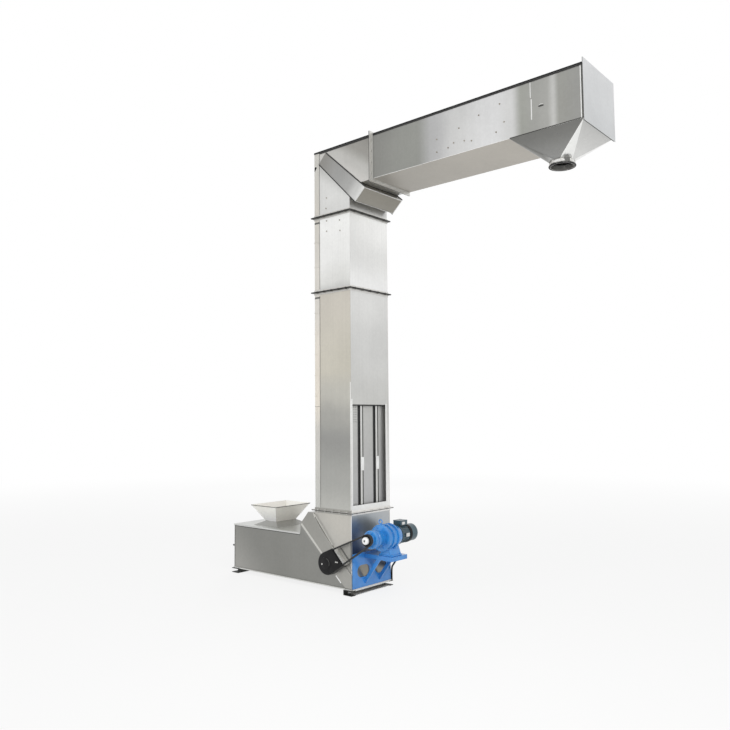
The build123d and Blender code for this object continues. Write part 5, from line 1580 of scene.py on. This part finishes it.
@dataclass(frozen=True)
class BeltDrive:
    """Two V-belts, grooved pulleys, the black guard with its pale back, and the white cap.

    Profiles run out from their foot in millimetres. The cap's and its screw's radii are shares of cap_r.
    """

    big: Pair = (0.635, 0.295)
    small: Pair = (1.163, 0.572)
    big_r: float = 0.106
    small_r: float = 0.056
    belt_y: float = -0.370
    belt_pitch: float = 0.016
    belt_section: tuple[Pair, ...] = (
        (-0.0098, -0.0042), (0.003, -0.0066), (0.003, 0.0066), (-0.0098, 0.0042),
    )
    pulley_back: float = -0.3515
    guard_back: float = -0.3148
    guard_depth: float = 0.080
    guard_roll: float = 0.015
    guard_r: float = 0.114
    guard_chord: float = 0.158
    guard_disc: tuple[Pair, ...] = ((0, 0), (0, 62), (2.6, 61), (4, 57), (4, 0))
    guard_bolt: Pair = (-0.050, -0.010)
    mark_runs: tuple[Pair, ...] = ((0.128, 0.142), (0.146, 0.163))
    mark_rise: Pair = (0.025, 0.037)
    # A pale arc on the guard's disc: a painted highlight
    highlight_shift: float = 0.004
    highlight_r: float = 0.046
    highlight_turn: Pair = (85, -25)
    lip_y: float = -0.3430
    wall_y: float = -0.3160
    bevel_y: float = -0.3168
    bevel_shift: float = 0.048
    bevel_inset: float = 0.012
    bevel_section: tuple[Pair, ...] = ((-0.009, 0.0), (-0.004, 0.004), (0.004, 0.004), (0.009, 0.0))
    cap_face: float = -0.3885
    cap_r: float = 0.036
    cap_form: tuple[Pair, ...] = (
        (0, 0), (0, 1), (12, 1), (20, 0.97), (25, 0.88), (28.5, 0.74), (30, 0.58), (30, 0.36), (27, 0.30),
        (27, 0),
    )
    screw_form: tuple[Pair, ...] = ((26.5, 0), (26.5, 0.29), (28.5, 0.26), (29, 0.1), (27.5, 0))
    bore: float = 0.020

    def build(self) -> None:
        """Make the belts, pulleys, cap, guard and its pale back."""
        section = softened(self.belt_section, 0.8 * MM, 2)
        belt = swept(section, self.strand_path(), Facing.NEAR, closed=True)
        pair = belt.repeated([(0.0, self.belt_y + s * self.belt_pitch / 2, 0.0) for s in (-1, 1)])
        piece("v_belts", pair, BLACK_RUBBER_AND_SHADE, replaces=("drive_belts",))
        for name, centre, r, body, node in (
            ("small_pulley", self.small, self.small_r, "output", "drive_pulley"),
            ("big_pulley", self.big, self.big_r, "drive_shaft", "driven_pulley"),
        ):
            wheel = lathe(self.pulley_profile(r), Facing.NEAR, sides=72)
            wheel = wheel.moved((centre[0], self.pulley_back, centre[1]))
            piece(name, wheel, GUARD_PAINT, body, (node,))
        self.cap()
        self.guard()
        self.back_strip()

    def heading(self) -> Pair:
        """Angle of the line between the axles, and how far each strand leans from it."""
        run, rise = self.small[0] - self.big[0], self.small[1] - self.big[1]
        return math.atan2(rise, run), math.asin((self.big_r - self.small_r) / math.hypot(run, rise))

    def big_turn(self, steps: int) -> np.ndarray:
        """Angles round the big axle, from one strand to the other."""
        heading, lean = self.heading()
        return np.linspace(heading + math.pi / 2 - lean, heading + 3 * math.pi / 2 + lean, steps)

    def strand_path(self) -> np.ndarray:
        """Pitch line of a belt: an arc round each axle, joined by the two tangents.

        Returns:
            Its points, on the plane of the axles' drawing.
        """
        heading, lean = self.heading()
        half = math.pi / 2 - lean
        arcs = [arc(self.big, self.big_r, self.big_turn(40)),
                arc(self.small, self.small_r, np.linspace(heading - half, heading + half, 28))]
        return near_seat(0.0).lay(np.concatenate(arcs), 0.0)

    def pulley_profile(self, r: float) -> list[Pair]:
        """Two-groove pulley section from its back to its dished face.

        Args:
            r: the radius at which the belts run.

        Returns:
            The section for the lathe.
        """
        bore, rim, floor = self.bore / MM, r / MM + 2, r / MM - 10.5
        web, hub = r / MM - 17, bore + 9
        return scaled([
            (0, bore), (0, rim - 1), (1, rim), (3.6, rim), (6.1, floor), (14.9, floor), (17.4, rim),
            (19.6, rim), (22.1, floor), (30.9, floor), (33.4, rim), (36, rim), (37, rim - 1), (37, web + 3),
            (32, web), (32, hub + 2), (37, hub), (37, bore),
        ])

    def cap(self) -> None:
        """White domed cap with a grey centre over the output shaft's end."""
        place = (self.small[0], self.cap_face, self.small[1])
        for name, form, sides, finish, nodes in (
            ("domed_cap", self.cap_form, 48, WHITE_PAINT, ("pulley_cap",)),
            ("cap_screw", self.screw_form, 24, GREY_STEEL, ()),
        ):
            turned = lathe(scaled(form, out=self.cap_r), Facing.NEAR, sides, False)
            piece(name, turned.moved(place), finish, "output", nodes)

    def guard_outline(self, r: float, chord: float) -> np.ndarray:
        """Guard's outline: round the big pulley, along both strands, and cut square to the mitre.

        Args:
            r: its radius round the big pulley.
            chord: how far from the big axle the cut lies.

        Returns:
            The outline, which ends with the cut's two corners.
        """
        heading, lean = self.heading()
        centre = np.array(self.big)
        rounded = arc(centre, r, self.big_turn(36))
        cut = math.sqrt(0.5)
        ends = []
        for point, angle in ((rounded[-1], heading + lean), (rounded[0], heading - lean)):
            ahead = np.array([math.cos(angle), math.sin(angle)])
            run = (chord - np.sum((point - centre) * cut)) / (np.sum(ahead) * cut)
            ends.append(point + run * ahead)
        return np.concatenate([rounded, np.array(ends)])

    def guard(self) -> None:
        """Black guard with a rolled rim and a raised disc, its bolt and marks, and a painted highlight arc on
        the disc.
        """
        turn, roll = np.linspace(0, math.pi / 2, 6), self.guard_roll
        edge = [(0.0, 0.0), *zip(roll * (1 - np.cos(turn)), self.guard_depth - roll + roll * np.sin(turn))]
        shell = slab(self.guard_outline(self.guard_r, self.guard_chord), edge, near_seat(self.guard_back))
        face = self.guard_back - self.guard_depth
        x, z = self.big
        raised = lathe(scaled(self.guard_disc), Facing.NEAR, sides=64, closed=False).moved((x, face, z))
        piece("guard_shell", joined([shell, raised]), GUARD_PAINT, replaces=("belt_guard",))
        bolt_x, bolt_z = self.guard_bolt
        bolt = dome_head(radius=9 * MM, height=4 * MM, axis=Facing.NEAR)
        bolt = bolt.moved((x + bolt_x, face - 3.6 * MM, z + bolt_z))
        low, high = self.mark_rise
        marks = [plate((x + a, z + low), (x + b, z + high), near_seat(face - 0.2 * MM),
                       thick=3, rim=1, corner=4) for a, b in self.mark_runs]
        piece("guard_bolts", joined([bolt, *marks]), PALE_BOLTS)
        # A pale arc on the disc: a painted highlight
        turn = np.radians(np.linspace(*self.highlight_turn, 14))
        worn = arc(np.array(self.big) + self.highlight_shift, self.highlight_r, turn)
        worn = near_seat(face - 4 * MM).lay(worn, 0.0)
        piece("guard_disc_highlight", swept(strip(4 * MM, 1 * MM), worn, Facing.NEAR), GREY_STEEL)

    def back_strip(self) -> None:
        """Pale wall along the guard's cut side and the bevelled strip across the tray."""
        first, second = self.guard_outline(self.guard_r, self.guard_chord + 1.5 * MM)[-2:]
        across = np.full(2, math.sqrt(0.5))
        wall = np.array([first, first + 3 * MM * across, second + 3 * MM * across, second])
        lip = slab(wall, round_edge(26 * MM, 0.8 * MM, 2), near_seat(self.lip_y))
        piece("guard_lip", lip, BRIGHT_EDGE)
        rest = slab(wall + 0.2 * MM * across, round_edge(27 * MM, 0.8 * MM, 2), near_seat(self.wall_y))
        piece("guard_wall", rest, FLANGE_SHEET)
        ends = self.guard_outline(self.guard_r - self.bevel_inset, self.guard_chord + self.bevel_shift)[-2:]
        bevel = swept(self.bevel_section, near_seat(self.bevel_y).lay(ends, 0.0), Facing.NEAR)
        piece("tray_bevel", bevel, GREY_STEEL)


@dataclass(frozen=True)
class GearedMotor:
    """Blue reducer with its ribs, bolts and foot, and the dressed motor behind it. The profile is in mm."""

    axis: Pair = (1.163, 0.572)
    profile: tuple[Pair, ...] = (
        (-345, 20), (-345, 50), (-340, 57), (-331, 58), (-331, 78), (-326, 88), (-304, 88), (-300, 84),
        (-300, 78), (-292, 78), (-290, 84), (-286, 88), (-266, 88), (-260, 82), (-215, 78), (-206, 72),
        (-180, 72), (-180, 120), (-176, 127), (-166, 127), (-162, 121), (-162, 112), (-112, 113), (-112, 120),
        (-108, 127), (-98, 127), (-94, 121), (-94, 112), (-40, 113), (-40, 120), (-36, 127), (-26, 127),
        (-22, 121), (-22, 104), (44, 100), (56, 94), (60, 84), (60, 20),
    )
    bolt_rings: tuple[Pair, ...] = ((-0.180, 0.099), (-0.331, 0.073))
    ring_bolts: int = 8
    deck: float = 0.385
    pad_t: float = 0.015
    pad: tuple[Pair, Pair] = ((-0.085, -0.105), (0.085, 0.060))
    pad_bolts: tuple[float, Pair] = (0.068, (-0.088, 0.043))
    web_foot: float = 0.012
    web_top: float = 0.098
    leaning_web: tuple[Pair, ...] = ((0.071, 0.0), (0.057, 0.0), (0.024, 1.0), (0.038, 1.0))
    leaning_rise: float = 0.008
    cross_web: Pair = (0.066, 0.034)
    motor_r: float = 0.084
    band_y: float = 0.195
    rim_y: float = 0.224
    fin_r: float = 0.0982
    screw_inset: float = 0.012
    box_plate: tuple[Pair, Pair] = ((0.104, 0.671), (0.150, 0.697))
    side_plate: tuple[Pair, Pair] = ((0.112, 0.556), (0.166, 0.590))

    def build(self) -> None:
        """Make the housing, its bolts, and the motor's bands, lid and plates."""
        x, z = self.axis
        housing = lathe(scaled(self.profile, along=-MM), Facing.NEAR, sides=96).moved((x, 0.0, z))
        piece("reducer_casting", joined([housing, *self.foot()]), CAST_BLUE,
              replaces=("reducer_housing",))
        rings = [near_seat(y).lay(circle(r, self.ring_bolts, 0.5) + self.axis, 0.0)
                 for y, r in self.bolt_rings]
        heads = hex_head(across=13 * MM, height=6 * MM, axis=Facing.NEAR).repeated(np.concatenate(rings))
        piece("reducer_bolts", heads, CAST_BLUE)
        out, rows = self.pad_bolts
        spots = [(x + side * out, y, self.deck + self.pad_t) for side in (-1, 1) for y in rows]
        foot_bolts = hex_head(across=16 * MM, height=8 * MM, axis=Facing.UP).repeated(spots)
        piece("foot_bolts", foot_bolts, CAST_BLUE)
        self.dress_motor()
        self.dress_box()

    def foot(self) -> list[Form]:
        """Cast foot: a rounded pad, two leaning webs and two cross webs up to the drum.

        Returns:
            The pad and the webs.
        """
        x, z = self.axis
        (x0, y0), (x1, y1) = self.pad
        low, high = self.deck + self.web_foot, z - self.web_top
        forms = [plate((x + x0, y0), (x + x1, y1), top_seat(self.deck),
                       thick=self.pad_t / MM, rim=4, corner=14)]
        edge, seat = round_edge(y1 - y0 - 4 * MM, 3 * MM), near_seat(y1 - 2 * MM)
        for side in (-1, 1):
            corners = [(x + side * out, low + (high - low) * share) for out, share in self.leaning_web]
            corners[-1] = (corners[-1][0], high + self.leaning_rise)
            forms.append(slab(corners, edge, seat))
        wide, narrow = self.cross_web
        corners = [(x - wide, low), (x + wide, low), (x + narrow, high), (x - narrow, high)]
        for y in (y0 + 16 * MM, y1 - 2 * MM):
            forms.append(slab(corners, round_edge(12 * MM, 2 * MM), near_seat(y)))
        return forms

    def dress_motor(self) -> None:
        """Black band of the motor's flange and rim of its fan cover."""
        x, z = self.axis
        hoops = [
            lathe([(0, inner), (0, outer), (length, outer), (length, inner)], Facing.FAR, 80).moved((x, y, z))
            for y, inner, outer, length in (
                (self.band_y, self.motor_r + 1 * MM, self.motor_r + 7.6 * MM, 30 * MM),
                (self.rim_y, self.motor_r + 1.8 * MM, self.motor_r + 4.4 * MM, 7 * MM),
            )
        ]
        piece("motor_band", joined(hoops), BLACK_PAINT)

    def dress_box(self) -> None:
        """Lid and screws of the terminal box, and the blank plates on box and motor."""
        low, high = (np.array(corner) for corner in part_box("terminal_box"))
        lid = plate(low[:2] - 2 * MM, high[:2] + 2 * MM, top_seat(float(high[2])),
                    thick=6, rim=2.5, corner=10)
        piece("terminal_lid", lid, SLATE_PAINT)
        inset = self.screw_inset
        spots = [(a, b, high[2] + 6 * MM) for a in (low[0] + inset, high[0] - inset)
                 for b in (low[1] + inset, high[1] - inset)]
        screws = dome_head(radius=4 * MM, height=2.5 * MM, axis=Facing.UP).repeated(spots)
        piece("lid_screws", screws, ZINC)
        plates = [plate(*corners, front_seat(x), thick=1.2, rim=0.4, rim_steps=2) for corners, x in (
            (self.box_plate, float(high[0]) + 0.2 * MM), (self.side_plate, self.axis[0] + self.fin_r),
        )]
        piece("blank_plates", joined(plates), BLANK_PLATE)


def dress_nodes(nodes: dict[str, bpy.types.Object]) -> None:
    """Give every CAD node its finish.

    Args:
        nodes: the frame's CAD objects by name.
    """
    for finish, names in NODE_FINISHES.items():
        for name in names:
            mesh = nodes[name].data
            mesh.materials.clear()
            mesh.materials.append(finish.material())
            LOG.info("%s has the finish %s", name, finish.name)


def main() -> None:
    """Load the frame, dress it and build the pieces."""
    logging.basicConfig(level=logging.INFO)
    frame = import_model()
    bpy.context.scene.view_settings.view_transform = "Standard"
    dress_nodes(frame["nodes"])
    Studio().build()
    for part in (Boot(), Inlet(), Window(), Joints(), RearCovers(), CornerSeals(), DuctTrim(), Discharge(),
                 BeltDrive(), GearedMotor()):
        part.build()


if __name__ == "__main__":
    main()
